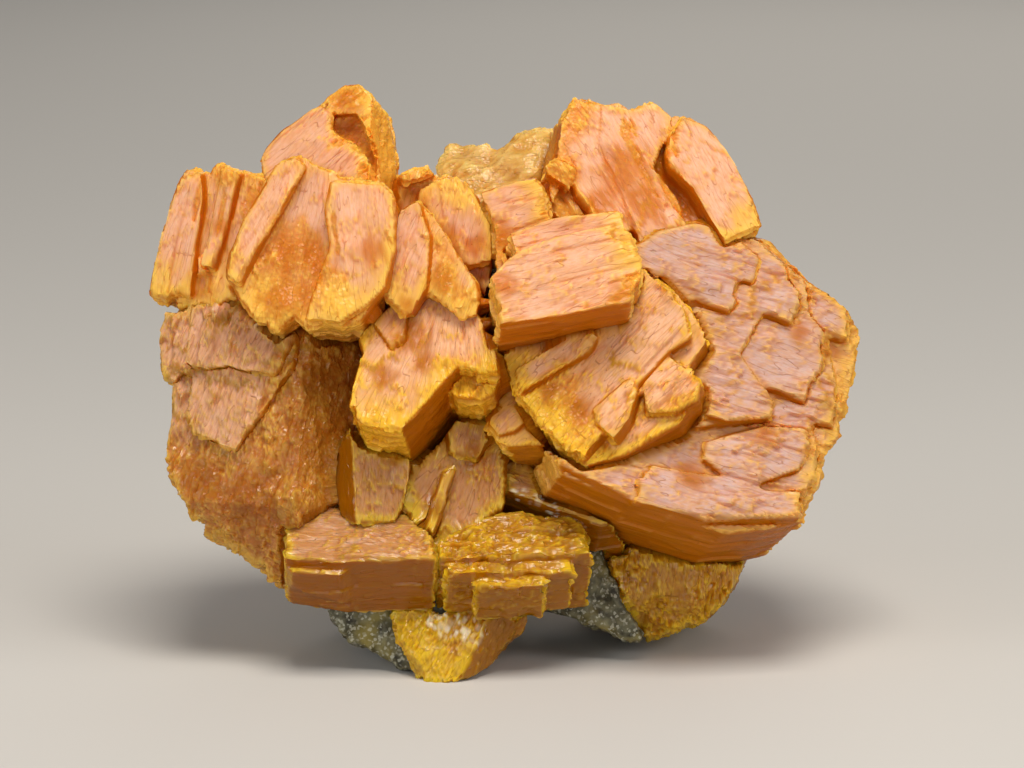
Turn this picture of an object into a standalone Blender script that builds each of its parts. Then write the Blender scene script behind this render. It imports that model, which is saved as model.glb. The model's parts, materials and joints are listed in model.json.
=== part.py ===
"""A cabinet specimen of wulfenite: a cluster of thick tabular crystals on a little matrix rock.

Every crystal is a stack of plates. An outline is read from the front, as x to the right and z up in
millimetres from the middle of the display face, and is laid on a plane that faces where the crystal faces.
The cluster is then tipped onto its feet. Crystals that meet keep a thin seam between them.
"""

import math
import random

import bmesh
import bpy
from mathutils import Matrix, Vector

MM = 0.001
SEAM = 0.32  # mm left open between two crystals that meet
TIP = math.radians(12)  # how far the display face leans back when the specimen stands
FOOT_HEIGHT = 26.7  # mm from the middle of the display face down to the resting plane
MIDDLE = Vector((0.73, -3.3))  # mm right and back from the middle of the specimen to the middle of its display face
SLAB = 90.0  # mm, size of a block that trims a crystal along a plane
TOOTH = 2.2  # mm, usual width of a broken plate end
NOTCH = 0.7  # mm, most that a broken plate end stands out or in
UNEVEN = 0.05  # mm, how far a corner strays, so that no two plates share a wall exactly
FLAT = math.radians(0.3)  # two faces closer than this in slope are one face

PEACH = (0.86, 0.50, 0.30)
AMBER = (0.76, 0.36, 0.05)
HONEY = (0.70, 0.38, 0.08)
ROCK = (0.30, 0.29, 0.22)


def facing(yaw, pitch):
    """Unit vector of a face turned yaw degrees to the right of the viewer and pitch degrees upwards."""
    across = math.cos(math.radians(pitch))
    return Vector((
        math.sin(math.radians(yaw)) * across,
        -math.cos(math.radians(yaw)) * across,
        math.sin(math.radians(pitch)),
    ))


class Crystal:
    """One crystal: where its face lies, the plates that make it and the planes that trim it.

    The plates run back along the normal of the face, or level with the display axis where straight is set.
    """

    def __init__(self, name, seat, yaw, pitch, grain, thick, color=PEACH, straight=False):
        self.name = name
        self.seat = Vector(seat)
        self.normal = facing(yaw, pitch)
        self.grain = Vector((math.cos(math.radians(grain)), math.sin(math.radians(grain))))
        self.thick = thick
        self.color = color
        side = math.copysign(1.0, self.normal.y)
        self.run = Vector((0, side / abs(self.normal.y), 0)) if straight else self.normal
        self.plates = []
        self.trims = []

    def plate(self, outline, front=0.0, back=None, broken=()):
        """A plate whose face stands front mm out of the seat plane. broken lists the sides that end in teeth."""
        depth = -self.thick if back is None else back
        self.plates.append((outline, front, depth, broken))
        return self

    def trim(self, point, yaw, pitch):
        """Takes away what lies beyond the plane through point that faces yaw and pitch."""
        self.trims.append((Vector(point), facing(yaw, pitch)))
        return self


def turned_left(outline):
    """The outline, listed anticlockwise as the viewer sees it."""
    area = sum(a[0] * b[1] - b[0] * a[1] for a, b in zip(outline, outline[1:] + outline[:1]))
    return outline if area > 0 else outline[::-1]


def toothed(start, end, grain, chance):
    """Corners of a broken side from start to end: ledges across the grain, with jumps along it."""
    across = Vector((-grain.y, grain.x))
    run = (end - start).dot(across)
    rise = (end - start).dot(grain)
    if abs(run) < abs(rise):
        return []
    count = max(2, round(abs(run) / TOOTH))
    shares = [chance.uniform(0.6, 1.4) for _ in range(count)]
    total = sum(shares)
    corners, place, jump = [], start.copy(), 0.0
    for share in shares[:-1]:
        place = place + across * (run * share / total)
        corners.append(place + grain * jump)
        place = place + grain * (rise * share / total)
        jump = chance.uniform(-NOTCH, NOTCH)
        corners.append(place + grain * jump)
    return corners


def sharp_outline(crystal, outline, broken, chance):
    """The corner points of a plate, with teeth on its broken sides."""
    points = [Vector(p) for p in outline]
    ring = []
    for i, point in enumerate(points):
        ring.append(point)
        if i in broken:
            ring += toothed(point, points[(i + 1) % len(points)], crystal.grain, chance)
    return [p + Vector((chance.uniform(-UNEVEN, UNEVEN), chance.uniform(-UNEVEN, UNEVEN))) for p in ring]


def roomy_outline(outline, broken, gap):
    """The plate's outline moved out by gap mm, and on its broken sides clear of the teeth as well."""
    points = [Vector(p) for p in turned_left(outline)]
    flipped = points[0] != Vector(outline[0])
    count = len(points)
    lines = []
    for i, point in enumerate(points):
        run = (points[(i + 1) % count] - point).normalized()
        side = count - 2 - i if flipped else i
        room = gap + (NOTCH if side % count in broken else 0.0)
        lines.append((point + Vector((run.y, -run.x)) * room, run))
    ring = []
    for i, point in enumerate(points):
        (start, before), (end, after) = lines[i - 1], lines[i]
        turn = before.cross(after)
        corner = start + before * (end - start).cross(after) / turn if abs(turn) > 0.2 else end
        reach = corner - point
        ring.append(point + reach * min(1.0, 3.0 * gap / reach.length))
    return ring


def plate_object(crystal, number, plate, gap):
    """One plate as a closed solid. With a gap it is plainer and that many mm larger, to cut neighbours."""
    outline, front, back, broken = plate
    chance = random.Random(f"{crystal.name} {number}")
    if gap:
        ring = roomy_outline(outline, broken, gap)
    else:
        ring = sharp_outline(crystal, outline, broken, chance)
    normal, seat = crystal.normal, crystal.seat
    bm = bmesh.new()
    corners = []
    for x, z in ring:
        level = front + gap
        depth = seat.y + (level - normal.x * (x - seat.x) - normal.z * (z - seat.z)) / normal.y
        corners.append(bm.verts.new((x, depth, z)))
    cap = bm.faces.new(corners)
    cap.normal_update()
    if cap.normal.dot(normal) < 0:
        cap.normal_flip()
    rear = bmesh.ops.extrude_face_region(bm, geom=[cap], use_keep_orig=True)
    rear_corners = [v for v in rear["geom"] if isinstance(v, bmesh.types.BMVert)]
    bmesh.ops.translate(bm, verts=rear_corners, vec=crystal.run * (back - front - 2 * gap))
    bmesh.ops.recalc_face_normals(bm, faces=bm.faces)
    return new_object(f"{crystal.name}_plate", bm)


def new_object(name, bm):
    mesh = bpy.data.meshes.new(name)
    bm.to_mesh(mesh)
    bm.free()
    obj = bpy.data.objects.new(name, mesh)
    bpy.context.scene.collection.objects.link(obj)
    return obj


def slab_object(point, normal, gap):
    """A block that fills the space beyond a plane, gap mm further out."""
    bm = bmesh.new()
    bmesh.ops.create_cube(bm, size=SLAB)
    turn = normal.to_track_quat("Z", "Y").to_matrix().to_4x4()
    place = Matrix.Translation(point + normal * (SLAB / 2 + gap))
    bmesh.ops.transform(bm, matrix=place @ turn, verts=bm.verts)
    return new_object("slab", bm)


def combine(obj, others, operation):
    """Applies one Boolean of obj with all the others."""
    if not others:
        return
    group = bpy.data.collections.new("operands")
    bpy.context.scene.collection.children.link(group)
    for other in others:
        group.objects.link(other)
    modifier = obj.modifiers.new("combine", "BOOLEAN")
    modifier.operand_type = "COLLECTION"
    modifier.collection = group
    modifier.operation = operation
    modifier.solver = "EXACT"
    graph = bpy.context.evaluated_depsgraph_get()
    result = bpy.data.meshes.new_from_object(obj.evaluated_get(graph))
    obj.modifiers.clear()
    obj.data = result
    for other in others:
        group.objects.unlink(other)
    bpy.data.collections.remove(group)


def discard(objects):
    for obj in objects:
        bpy.data.objects.remove(obj)


def crystal_solid(crystal, gap):
    """The crystal alone, as if nothing touched it, gap mm larger on every side."""
    plates = [plate_object(crystal, i, p, gap) for i, p in enumerate(crystal.plates)]
    body = plates[0]
    combine(body, plates[1:], "UNION")
    discard(plates[1:])
    slabs = [slab_object(point, normal, gap) for point, normal in crystal.trims]
    for slab in slabs:
        combine(body, [slab], "DIFFERENCE")
    discard(slabs)
    return body


def keep_largest(obj):
    """Leaves only the largest of the pieces that a cut has parted, and closes its tiny edges."""
    bm = bmesh.new()
    bm.from_mesh(obj.data)
    bmesh.ops.remove_doubles(bm, verts=bm.verts, dist=0.002)
    bmesh.ops.dissolve_degenerate(bm, edges=bm.edges, dist=0.002)
    bm.verts.ensure_lookup_table()
    left, islands = set(bm.verts), []
    while left:
        island, todo = set(), [left.pop()]
        while todo:
            vert = todo.pop()
            island.add(vert)
            for edge in vert.link_edges:
                other = edge.other_vert(vert)
                if other in left:
                    left.discard(other)
                    todo.append(other)
        islands.append(island)
    islands.sort(key=len)
    for island in islands[:-1]:
        bmesh.ops.delete(bm, geom=list(island), context="VERTS")
    bmesh.ops.dissolve_limit(bm, angle_limit=FLAT, verts=bm.verts, edges=bm.edges)
    bmesh.ops.triangulate(bm, faces=bm.faces)
    bm.to_mesh(obj.data)
    bm.free()


def near(first, second):
    """True if the boxes around two objects touch."""
    boxes = []
    for obj in (first, second):
        places = [v.co for v in obj.data.vertices]
        boxes.append([(min(p[k] for p in places), max(p[k] for p in places)) for k in range(3)])
    return all(a[0] < b[1] and b[0] < a[1] for a, b in zip(*boxes))


def material_of(color):
    name = f"mineral_{color[0]:.2f}_{color[1]:.2f}"
    found = bpy.data.materials.get(name)
    if found:
        return found
    material = bpy.data.materials.new(name)
    material.use_nodes = True
    shader = material.node_tree.nodes["Principled BSDF"]
    shader.inputs["Base Color"].default_value = (*color, 1.0)
    shader.inputs["Roughness"].default_value = 0.45
    shader.inputs["Metallic"].default_value = 0.0
    material.diffuse_color = (*color, 1.0)
    return material


def crystals():
    """All pieces. An earlier one keeps its whole shape, and a later one is cut back where they meet."""
    made = []

    def add(*args, **kwargs):
        made.append(Crystal(*args, **kwargs))
        return made[-1]

    # The rock they grew on: a core, a rear foot, and the two lobes that show under the feet.
    add("matrix", (0.0, 1.5, -6.0), 0, 0, 30, 13.0, ROCK).plate(
        [(-20.0, 5.0), (-12.0, 10.0), (2.0, 12.0), (15.0, 10.0), (20.0, 2.0), (19.0, -11.0), (12.0, -17.6),
         (4.0, -18.4), (-6.0, -19.0), (-16.0, -17.6), (-21.0, -8.0)],
    ).plate(
        [(-18.0, -13.0), (-2.0, -13.0), (-2.4, -22.0), (-4.0, -27.6), (-13.0, -28.6), (-17.0, -23.4)],
        front=-4.0, back=-17.0,
    ).plate(
        [(-19.0, -17.0), (-17.9, -23.1), (-16.2, -25.4), (-13.4, -26.4), (-10.7, -28.0), (-7.7, -29.4),
         (-5.8, -26.0), (-6.0, -17.0)],
        front=8.2, back=-9.0,
    ).plate(
        [(2.4, -19.6), (2.9, -22.6), (5.8, -23.4), (8.8, -24.2), (11.3, -25.5), (13.2, -25.6), (11.0, -21.6),
         (9.0, -16.4), (3.4, -16.4)],
        front=4.6, back=-10.0,
    ).trim((-8.0, 16.6, -20.0), 196, -12).trim((-17.2, 12.0, -20.0), 232, 0).trim((8.0, 13.6, -12.0), 164, -18)

    # The plate that stands out furthest, right of the middle.
    add("centre_block_crystal", (5.0, -15.5, 10.0), 2, 18, 14, 10.0).plate(
        [(-0.4, 14.6), (3.8, 16.2), (10.6, 17.0), (11.0, 15.6), (11.8, 14.4), (12.4, 12.2), (0.8, 11.4)],
        front=-1.2,
    ).plate(
        [(-2.0, 10.6), (0.4, 12.8), (4.3, 14.4), (8.9, 15.4), (10.0, 14.3), (12.0, 13.6), (12.8, 12.2),
         (12.6, 10.2), (11.8, 9.2), (11.6, 7.9), (4.8, 6.6), (-1.2, 5.7), (-1.7, 8.4)],
        front=0.8, broken=(11,),
    )

    # The fibrous wedge under it, with amber walls to the lower right.
    add("centre_wedge_crystal", (9.0, -12.4, 1.5), -8, 18, 46, 13.0, AMBER).plate(
        [(11.6, 8.0), (12.8, 12.0), (15.2, 10.0), (17.7, 7.4), (19.1, 4.2), (17.4, 1.4), (18.6, 0.2),
         (18.3, -1.8), (16.4, -3.9), (10.8, -6.9), (7.2, -8.0), (4.6, -6.2), (2.6, -3.9), (0.3, -1.1),
         (-0.7, 1.9), (-1.4, 5.2)],
        front=-1.6,
    ).plate(
        [(-1.4, 5.2), (3.3, 6.6), (11.6, 8.0), (12.8, 11.4), (15.0, 9.6), (16.9, 7.2), (17.4, 4.6),
         (15.2, 3.2), (12.2, -0.4), (9.4, -4.2), (7.0, -7.2), (4.8, -5.8), (1.8, -2.6), (0.2, -1.0),
         (-0.7, 1.9)],
        broken=(6, 10, 11),
    ).plate(
        [(0.2, 1.5), (7.6, 5.8), (8.3, 4.4), (7.6, 3.2), (0.9, -0.9)], front=0.9, back=-3,
    ).plate(
        [(7.8, -2.4), (11.4, 0.6), (12.3, -0.6), (11.4, -3.4), (9.9, -5.4), (8.2, -3.9)], front=0.7, back=-3,
    ).plate(
        [(12.8, 0.2), (14.8, 3.2), (17.2, 1.4), (18.5, 0.1), (18.2, -1.6), (16.0, -2.8), (13.0, -2.9)],
        front=-0.5, back=-5,
    )

    # The fibrous column left of the middle, with a blunt amber end.
    add("column_crystal", (-8.5, -12.5, 2.0), -6, 22, 76, 14.0, AMBER).plate(
        [(-11.6, 8.2), (-13.8, 6.2), (-15.2, 4.6), (-14.7, 3.2), (-15.5, 0.6), (-16.0, -2.2), (-14.6, -4.0),
         (-12.7, -4.3), (-10.8, -4.4), (-8.0, -1.6), (-5.2, 1.8), (-3.2, 1.2), (-1.2, 1.0), (-1.6, 3.4),
         (-3.0, 6.6), (-5.2, 8.6), (-8.2, 9.6)],
        broken=(5, 8, 9),
    ).plate(
        [(-6.4, -0.4), (-5.0, 1.0), (-1.2, 0.7), (-1.6, -1.0), (-3.0, -1.8), (-5.6, -1.6)], front=-2.6, back=-9,
    ).plate(
        [(-13.6, 6.0), (-11.9, 7.8), (-10.2, 6.6), (-10.4, 4.2), (-11.8, 3.4)], front=0.6, back=-3,
    )

    # The smooth wedge above the column.
    add("wedge_crystal", (-9.0, -11.0, 12.0), -4, 12, 70, 12.0).plate(
        [(-11.0, 17.1), (-9.2, 18.1), (-7.2, 15.9), (-5.2, 12.6), (-3.4, 9.8), (-3.2, 8.4), (-3.5, 6.6),
         (-5.0, 6.4), (-7.2, 8.2), (-8.4, 9.0), (-9.4, 7.2), (-10.5, 6.3), (-13.0, 8.9), (-12.8, 12.2),
         (-11.9, 14.9)],
    ).plate(
        [(-11.0, 17.1), (-9.2, 18.1), (-7.9, 14.4), (-8.3, 9.4), (-9.6, 7.1), (-10.5, 6.5), (-13.0, 9.0),
         (-12.8, 12.2), (-11.9, 14.9)],
        front=0.8, back=-5,
    )

    # The fan in front of the left tower.
    add("left_fan_crystal", (-19.5, -12.0, 14.0), -4, 9, 82, 12.0).plate(
        [(-22.9, 21.6), (-21.2, 22.4), (-18.7, 21.2), (-16.7, 20.2), (-12.7, 19.7), (-11.8, 19.1),
         (-11.3, 16.9), (-11.5, 12.9), (-12.2, 9.4), (-13.4, 8.0), (-14.8, 6.2), (-16.7, 5.6), (-20.0, 5.6),
         (-21.2, 6.6), (-22.7, 5.3), (-25.0, 6.4), (-26.6, 8.2), (-27.2, 9.6), (-27.9, 10.4), (-27.6, 12.6),
         (-26.2, 15.9), (-24.4, 18.9)],
        broken=(11, 14),
    ).plate(
        [(-22.9, 21.6), (-21.2, 22.3), (-20.2, 21.4), (-22.7, 16.9), (-25.0, 12.9), (-26.6, 9.7),
         (-27.9, 10.6), (-27.6, 12.6), (-26.2, 15.9), (-24.4, 18.9)],
        front=1.4, back=-4,
    ).plate(
        [(-17.7, 19.9), (-12.7, 19.6), (-11.6, 18.4), (-11.4, 13.4), (-12.4, 9.4), (-14.0, 7.9),
         (-16.7, 5.9), (-20.2, 6.2), (-19.2, 9.4), (-17.7, 13.4), (-18.2, 16.9)],
        front=1.3, back=-4, broken=(6,),
    )

    # The peak behind the fan: a smooth face to the left, a rough one to the right, a recess between them.
    add("peak_crystal", (-18.5, -4.5, 24.0), -16, 16, 40, 14.0, straight=True).plate(
        [(-24.9, 22.4), (-24.4, 23.4), (-22.7, 25.2), (-21.2, 26.2), (-20.0, 27.2), (-18.4, 28.5),
         (-16.7, 29.6), (-15.2, 29.7), (-13.9, 28.4), (-12.4, 26.7), (-11.9, 24.4), (-11.5, 21.9),
         (-11.9, 15.0), (-23.0, 15.0), (-24.7, 21.2)],
        front=-1.3,
    ).plate(
        [(-24.9, 22.4), (-24.4, 23.4), (-22.7, 25.2), (-20.0, 27.2), (-19.0, 27.7), (-17.8, 26.4),
         (-17.8, 24.9), (-15.9, 23.9), (-14.7, 22.2), (-13.9, 20.7), (-14.0, 15.4), (-23.0, 15.4),
         (-24.7, 21.2)],
        front=0.9, back=-5,
    ).plate(
        [(-18.6, 28.3), (-16.7, 29.6), (-15.2, 29.7), (-13.9, 28.4), (-12.4, 26.7), (-11.9, 24.4),
         (-11.6, 21.9), (-11.9, 17.0), (-12.8, 20.0), (-14.2, 24.5), (-15.2, 26.8), (-17.4, 26.7)],
        front=0.5, back=-5,
    ).trim((-14.2, -6.2, 25.4), 58, 8).trim((-18.0, 7.0, 21.0), 184, 34)

    # The crest between the fan and the top of the right side.
    add("crest_crystal", (-5.0, -7.0, 15.5), 4, 10, 80, 12.0).plate(
        [(-11.2, 20.6), (-9.7, 21.3), (-8.2, 21.5), (-7.5, 20.6), (-5.6, 20.6), (-4.6, 20.0), (-3.6, 18.8),
         (-2.8, 17.2), (-2.1, 15.8), (-1.9, 12.2), (-2.2, 9.9), (-2.8, 8.2), (-4.2, 8.4), (-7.2, 10.4),
         (-11.2, 14.4)],
        front=-1.6,
    ).plate(
        [(-9.2, 19.2), (-7.5, 20.2), (-5.6, 20.5), (-4.6, 19.9), (-3.6, 18.7), (-2.8, 17.1), (-2.1, 15.7),
         (-2.0, 12.2), (-4.2, 11.6), (-7.2, 13.4), (-9.4, 16.9)],
        front=0.5, back=-5,
    ).plate(
        [(-11.2, 20.6), (-9.7, 21.2), (-8.2, 21.4), (-7.6, 20.7), (-9.2, 20.1), (-10.7, 19.7)],
        front=0.0, back=-6,
    )

    # The striated shelf that the centre block leans on.
    add("shelf_crystal", (0.5, -8.5, 16.5), -8, 12, 14, 12.0).plate(
        [(-3.2, 18.8), (-1.2, 19.6), (2.5, 20.4), (3.3, 18.8), (3.7, 16.2), (8.0, 14.0), (6.0, 8.0),
         (-0.7, 6.4), (-1.6, 11.4), (-1.9, 15.9)],
        broken=(2,),
    ).plate(
        [(-1.0, 13.0), (1.6, 14.4), (4.0, 14.8), (6.0, 10.0), (-0.6, 9.6)], front=0.8, back=-4,
    )

    # The three leaning plates of the upper right, with blocky steps at their left end.
    add("upper_right_crystal", (13.0, -3.5, 22.0), 10, 20, -61, 13.0).plate(
        [(2.5, 19.4), (3.8, 21.9), (4.8, 26.4), (6.3, 28.5), (7.8, 28.5), (9.0, 27.9), (10.8, 28.2),
         (11.9, 27.3), (14.3, 28.1), (15.8, 26.8), (17.8, 26.8), (19.4, 25.8), (21.0, 23.8), (22.6, 21.2),
         (23.8, 18.6), (24.8, 15.6), (22.0, 13.0), (12.0, 11.0), (6.3, 16.2), (3.5, 16.8)],
        front=-1.2,
    ).plate(
        [(17.0, 26.7), (19.4, 25.8), (21.0, 23.8), (22.6, 21.2), (23.8, 18.6), (24.7, 15.7), (21.0, 14.0),
         (17.8, 19.4), (15.6, 21.6), (15.3, 22.9), (15.8, 24.9)],
        front=1.4, back=-6,
    ).plate(
        [(9.0, 27.9), (11.9, 27.3), (14.3, 28.1), (16.0, 26.6), (15.4, 24.9), (14.0, 21.4), (16.4, 18.4),
         (17.6, 15.0), (12.8, 13.4), (11.0, 18.4), (8.8, 23.4)],
        front=0.5, back=-6,
    ).plate(
        [(4.8, 25.9), (6.3, 28.4), (8.8, 27.9), (9.0, 25.4), (10.8, 21.4), (12.8, 16.9), (11.3, 14.6),
         (8.4, 16.0), (6.4, 18.6), (5.6, 21.4), (4.4, 22.6)],
        front=0.2, back=-6, broken=(7,),
    ).plate(
        [(3.3, 21.0), (4.4, 22.4), (6.5, 21.2), (5.6, 19.4)], front=0.7, back=-4,
    ).plate(
        [(2.6, 19.2), (3.4, 20.4), (4.6, 19.2), (4.0, 17.8)], front=-0.3, back=-4,
    )

    # The granular slab that shows behind the crest.
    add("back_top_crystal", (-1.0, 4.0, 22.0), -8, 34, 8, 9.0, HONEY).plate(
        [(-7.6, 22.2), (-6.9, 24.3), (-5.2, 24.6), (-2.6, 24.3), (-1.5, 23.2), (-0.2, 24.7), (2.3, 26.0),
         (4.8, 26.1), (8.8, 25.4), (9.4, 20.4), (2.8, 16.0), (-3.4, 16.0), (-7.2, 20.6)],
    ).plate(
        [(-1.6, 22.6), (-0.2, 24.4), (2.3, 25.7), (4.8, 25.8), (5.2, 22.6), (1.4, 20.8)], front=0.8, back=-4,
    )

    # The small amber crystal between the column and the wedge.
    add("small_amber_crystal", (0.5, -9.5, -4.0), -14, 20, 40, 11.0, AMBER).plate(
        [(-2.7, -4.1), (-2.2, -2.1), (-0.4, 0.4), (4.0, -2.6), (4.6, -5.2), (3.2, -6.0), (-0.7, -6.2),
         (-1.7, -5.6)],
    ).plate(
        [(-2.3, -3.9), (-1.9, -2.3), (-0.4, 0.0), (2.6, -2.2), (0.6, -4.6), (-1.4, -5.0)], front=0.5, back=-3,
    )

    # The two bars that lie along the bottom, grained face up and amber wall down.
    add("right_bar_crystal", (1.5, -10.0, -15.5), 4, 44, 2, 8.0, HONEY).plate(
        [(-7.3, -15.6), (-5.2, -14.3), (-1.2, -12.8), (5.4, -13.0), (7.0, -13.6), (7.4, -15.0),
         (7.8, -16.6), (-1.2, -17.2), (-7.2, -17.2)],
        broken=(4, 5),
    ).plate(
        [(-6.6, -17.6), (-6.2, -16.9), (4.6, -16.6), (5.8, -17.2), (5.9, -18.4), (-6.4, -18.6)],
        front=-0.6, back=-6,
    ).plate(
        [(-3.6, -19.0), (-3.2, -18.0), (2.6, -17.8), (3.4, -18.4), (3.2, -19.8), (-3.4, -19.8)],
        front=-1.2, back=-6,
    )
    add("left_bar_crystal", (-14.5, -10.0, -15.0), -4, 46, -2, 7.0, HONEY).plate(
        [(-21.7, -13.3), (-19.2, -12.1), (-16.7, -11.7), (-10.4, -12.9), (-7.4, -15.4), (-7.3, -17.2),
         (-17.2, -17.6), (-22.3, -17.2), (-22.3, -15.4)],
        broken=(7, 8),
    ).plate(
        [(-22.1, -18.0), (-21.9, -17.0), (-15.8, -17.2), (-15.4, -18.2), (-17.0, -18.8), (-21.4, -18.6)],
        front=-0.9, back=-5,
    ).trim((-20.0, -9.0, -21.0), -30, -62)

    # The small prism and the fan that stand on the bars.
    add("lower_prism_crystal", (-13.5, -9.5, -9.0), 8, 4, 88, 12.0, HONEY).plate(
        [(-16.0, -4.6), (-14.6, -4.4), (-13.4, -5.3), (-10.1, -6.4), (-10.0, -8.6), (-10.7, -12.1),
         (-11.4, -13.6), (-15.4, -13.8), (-16.7, -12.8), (-17.1, -9.6), (-16.8, -6.6)],
    ).trim((-15.6, -9.8, -9.0), -44, 0).trim((-13.4, -9.4, -5.2), 10, 62)
    add("lower_fan_crystal", (-5.5, -8.5, -9.0), 4, 8, 70, 12.0, HONEY).plate(
        [(-7.2, -2.6), (-5.7, -1.0), (-2.7, -1.2), (-1.2, -3.0), (-0.7, -6.8), (-0.7, -11.6), (-1.2, -13.6),
         (-7.2, -16.1), (-8.7, -16.9), (-10.0, -16.1), (-10.7, -13.6), (-10.4, -9.6), (-9.7, -6.6)],
        front=-0.8,
    ).plate(
        [(-6.8, -8.6), (-5.6, -8.2), (-7.2, -13.6), (-8.4, -16.6), (-9.2, -16.2)], front=0.9, back=-4,
    ).plate(
        [(-6.6, -3.4), (-5.0, -1.6), (-2.9, -2.0), (-1.6, -4.6), (-3.4, -7.6), (-6.2, -6.8)], front=0.2, back=-4,
        broken=(3, 4),
    )

    # The stepped book of plates that makes the right side.
    add("right_book_crystal", (20.0, -7.0, 0.0), 15, 16, -18, 14.0).plate(
        [(6.0, 13.4), (12.8, 14.6), (14.3, 15.8), (17.8, 16.6), (20.8, 16.2), (24.0, 15.0), (25.8, 14.4),
         (27.8, 12.2), (29.4, 10.4), (31.6, 8.9), (33.4, 7.4), (34.3, 5.9), (34.5, 4.4), (34.1, 1.9),
         (33.4, -1.6), (32.6, -5.2), (31.0, -6.6), (30.5, -10.0), (28.8, -12.3), (28.6, -13.6),
         (25.3, -14.4), (20.8, -14.8), (12.8, -12.4), (5.0, -9.0), (2.0, 2.0)],
        broken=(14,),
    ).plate(
        [(6.0, 13.4), (12.8, 14.6), (14.3, 15.8), (17.8, 16.6), (20.8, 16.2), (24.0, 15.0), (27.2, 12.2),
         (29.4, 10.2), (31.6, 8.8), (33.4, 7.4), (33.4, 4.3), (31.4, 4.6), (32.2, 0.6), (31.9, -4.2),
         (29.5, -3.9), (30.3, -6.2), (29.8, -9.4), (28.6, -11.2), (25.8, -11.4), (19.0, -13.0),
         (12.0, -11.6), (5.0, -8.0), (2.0, 2.0)],
        front=0.9, back=-7, broken=(17,),
    ).plate(
        [(6.0, 13.0), (12.8, 14.4), (14.3, 15.6), (17.8, 16.4), (20.8, 16.0), (24.0, 14.7), (27.2, 12.0),
         (29.2, 10.0), (29.6, 6.9), (31.0, 5.2), (30.8, 1.8), (29.4, -0.2), (29.0, -1.9),
         (24.9, -0.3), (24.0, -3.6), (16.0, -4.6), (4.0, -3.0)],
        front=1.8, back=-6, broken=(9, 12),
    ).plate(
        [(6.0, 12.6), (12.8, 14.2), (14.3, 15.4), (17.8, 16.2), (20.8, 15.8), (24.0, 14.4), (27.0, 11.8),
         (27.2, 10.4), (28.6, 9.0), (27.4, 5.9), (24.9, 7.0), (22.4, 3.0), (25.9, -1.8), (25.4, -3.5),
         (21.1, -3.7), (14.0, -2.0), (4.0, -1.0)],
        front=2.6, back=-5, broken=(8, 12),
    ).plate(
        [(6.0, 12.2), (12.8, 14.0), (14.3, 15.2), (17.8, 16.0), (20.8, 15.4), (24.6, 12.6), (23.9, 9.9),
         (22.4, 10.2), (21.3, 6.9), (17.6, 8.4), (16.0, 4.4), (4.0, 2.0)],
        front=3.4, back=-4, broken=(7,),
    ).plate(
        [(19.0, -5.6), (21.8, -4.8), (24.5, -4.2), (29.2, -4.3), (29.0, -6.9), (28.2, -8.4), (24.0, -9.9),
         (20.4, -8.6), (18.8, -7.4)],
        front=1.7, back=-5, broken=(3,),
    ).plate(
        [(12.3, -9.6), (13.7, -7.8), (17.4, -8.6), (20.4, -9.0), (24.8, -10.4), (28.4, -10.6),
         (28.5, -13.2), (18.8, -13.4), (12.1, -11.6)],
        front=1.7, back=-5, broken=(5, 8),
    )

    # The dark shelf that the book's lower left corner rests on.
    add("lower_shelf_crystal", (5.5, -6.6, -11.0), 6, 30, -16, 9.0, HONEY).plate(
        [(-0.9, -7.1), (1.3, -5.9), (5.6, -6.4), (10.0, -9.6), (11.8, -13.6), (8.8, -14.0), (4.8, -12.6),
         (-0.9, -10.4)],
        broken=(7,),
    )

    # The tall blocks at the upper left.
    add("left_tower_crystal", (-30.0, -6.0, 14.0), -18, 6, 79, 14.0).plate(
        [(-32.2, 21.4), (-29.9, 20.8), (-29.3, 21.8), (-24.4, 20.2), (-20.0, 18.4), (-20.0, 9.4),
         (-27.2, 8.2), (-29.0, 7.6), (-30.7, 8.0), (-32.6, 7.5), (-34.4, 8.1), (-36.0, 8.7),
         (-35.7, 10.9), (-34.7, 14.9), (-33.7, 18.4), (-32.9, 20.4)],
        broken=(6, 9),
    ).plate(
        [(-32.8, 20.4), (-30.8, 21.0), (-30.5, 18.4), (-31.2, 13.4), (-31.7, 8.6), (-34.2, 8.4),
         (-35.8, 8.9), (-35.5, 11.4), (-34.6, 14.9), (-33.6, 18.4)],
        front=1.0, back=-5, broken=(4,),
    ).plate(
        [(-28.7, 21.4), (-26.8, 20.9), (-28.4, 14.4), (-29.4, 11.2), (-30.7, 11.6), (-30.0, 14.9)],
        front=0.9, back=-4,
    )

    # The barrel of plates that makes the lower left side.
    add("left_body_crystal", (-25.5, -8.0, -3.0), -14, 9, 72, 15.0).plate(
        [(-34.2, 7.6), (-27.0, 9.4), (-21.0, 7.0), (-14.0, 6.4), (-14.6, 1.4), (-15.6, -2.6),
         (-16.0, -6.6), (-17.0, -9.6), (-19.0, -11.6), (-21.0, -13.4), (-21.6, -18.6), (-24.4, -18.8),
         (-26.6, -17.2), (-29.4, -15.2), (-32.2, -12.8), (-32.4, -11.4), (-33.8, -9.2), (-34.3, -7.2),
         (-33.8, -3.6), (-33.6, 0.2), (-34.9, 1.2), (-34.9, 3.9)],
        broken=(11, 13),
    ).plate(
        [(-34.2, 7.6), (-27.0, 8.4), (-21.2, 5.0), (-21.4, 1.9), (-25.0, -3.6), (-27.2, -6.6),
         (-30.4, -5.2), (-32.2, -3.6), (-31.4, 0.6), (-34.6, 0.6), (-34.9, 3.9)],
        front=1.0, back=-6, broken=(4, 6, 8),
    ).plate(
        [(-31.6, 7.8), (-26.2, 8.2), (-21.2, 4.8), (-23.2, 1.0), (-26.4, 1.2), (-30.2, 1.4), (-32.2, 2.2)],
        front=2.0, back=-5, broken=(4, 5),
    ).trim((-21.5, -9.6, 0.0), 40, 4).trim((-27.5, -8.4, -12.5), -18, -32)

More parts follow.
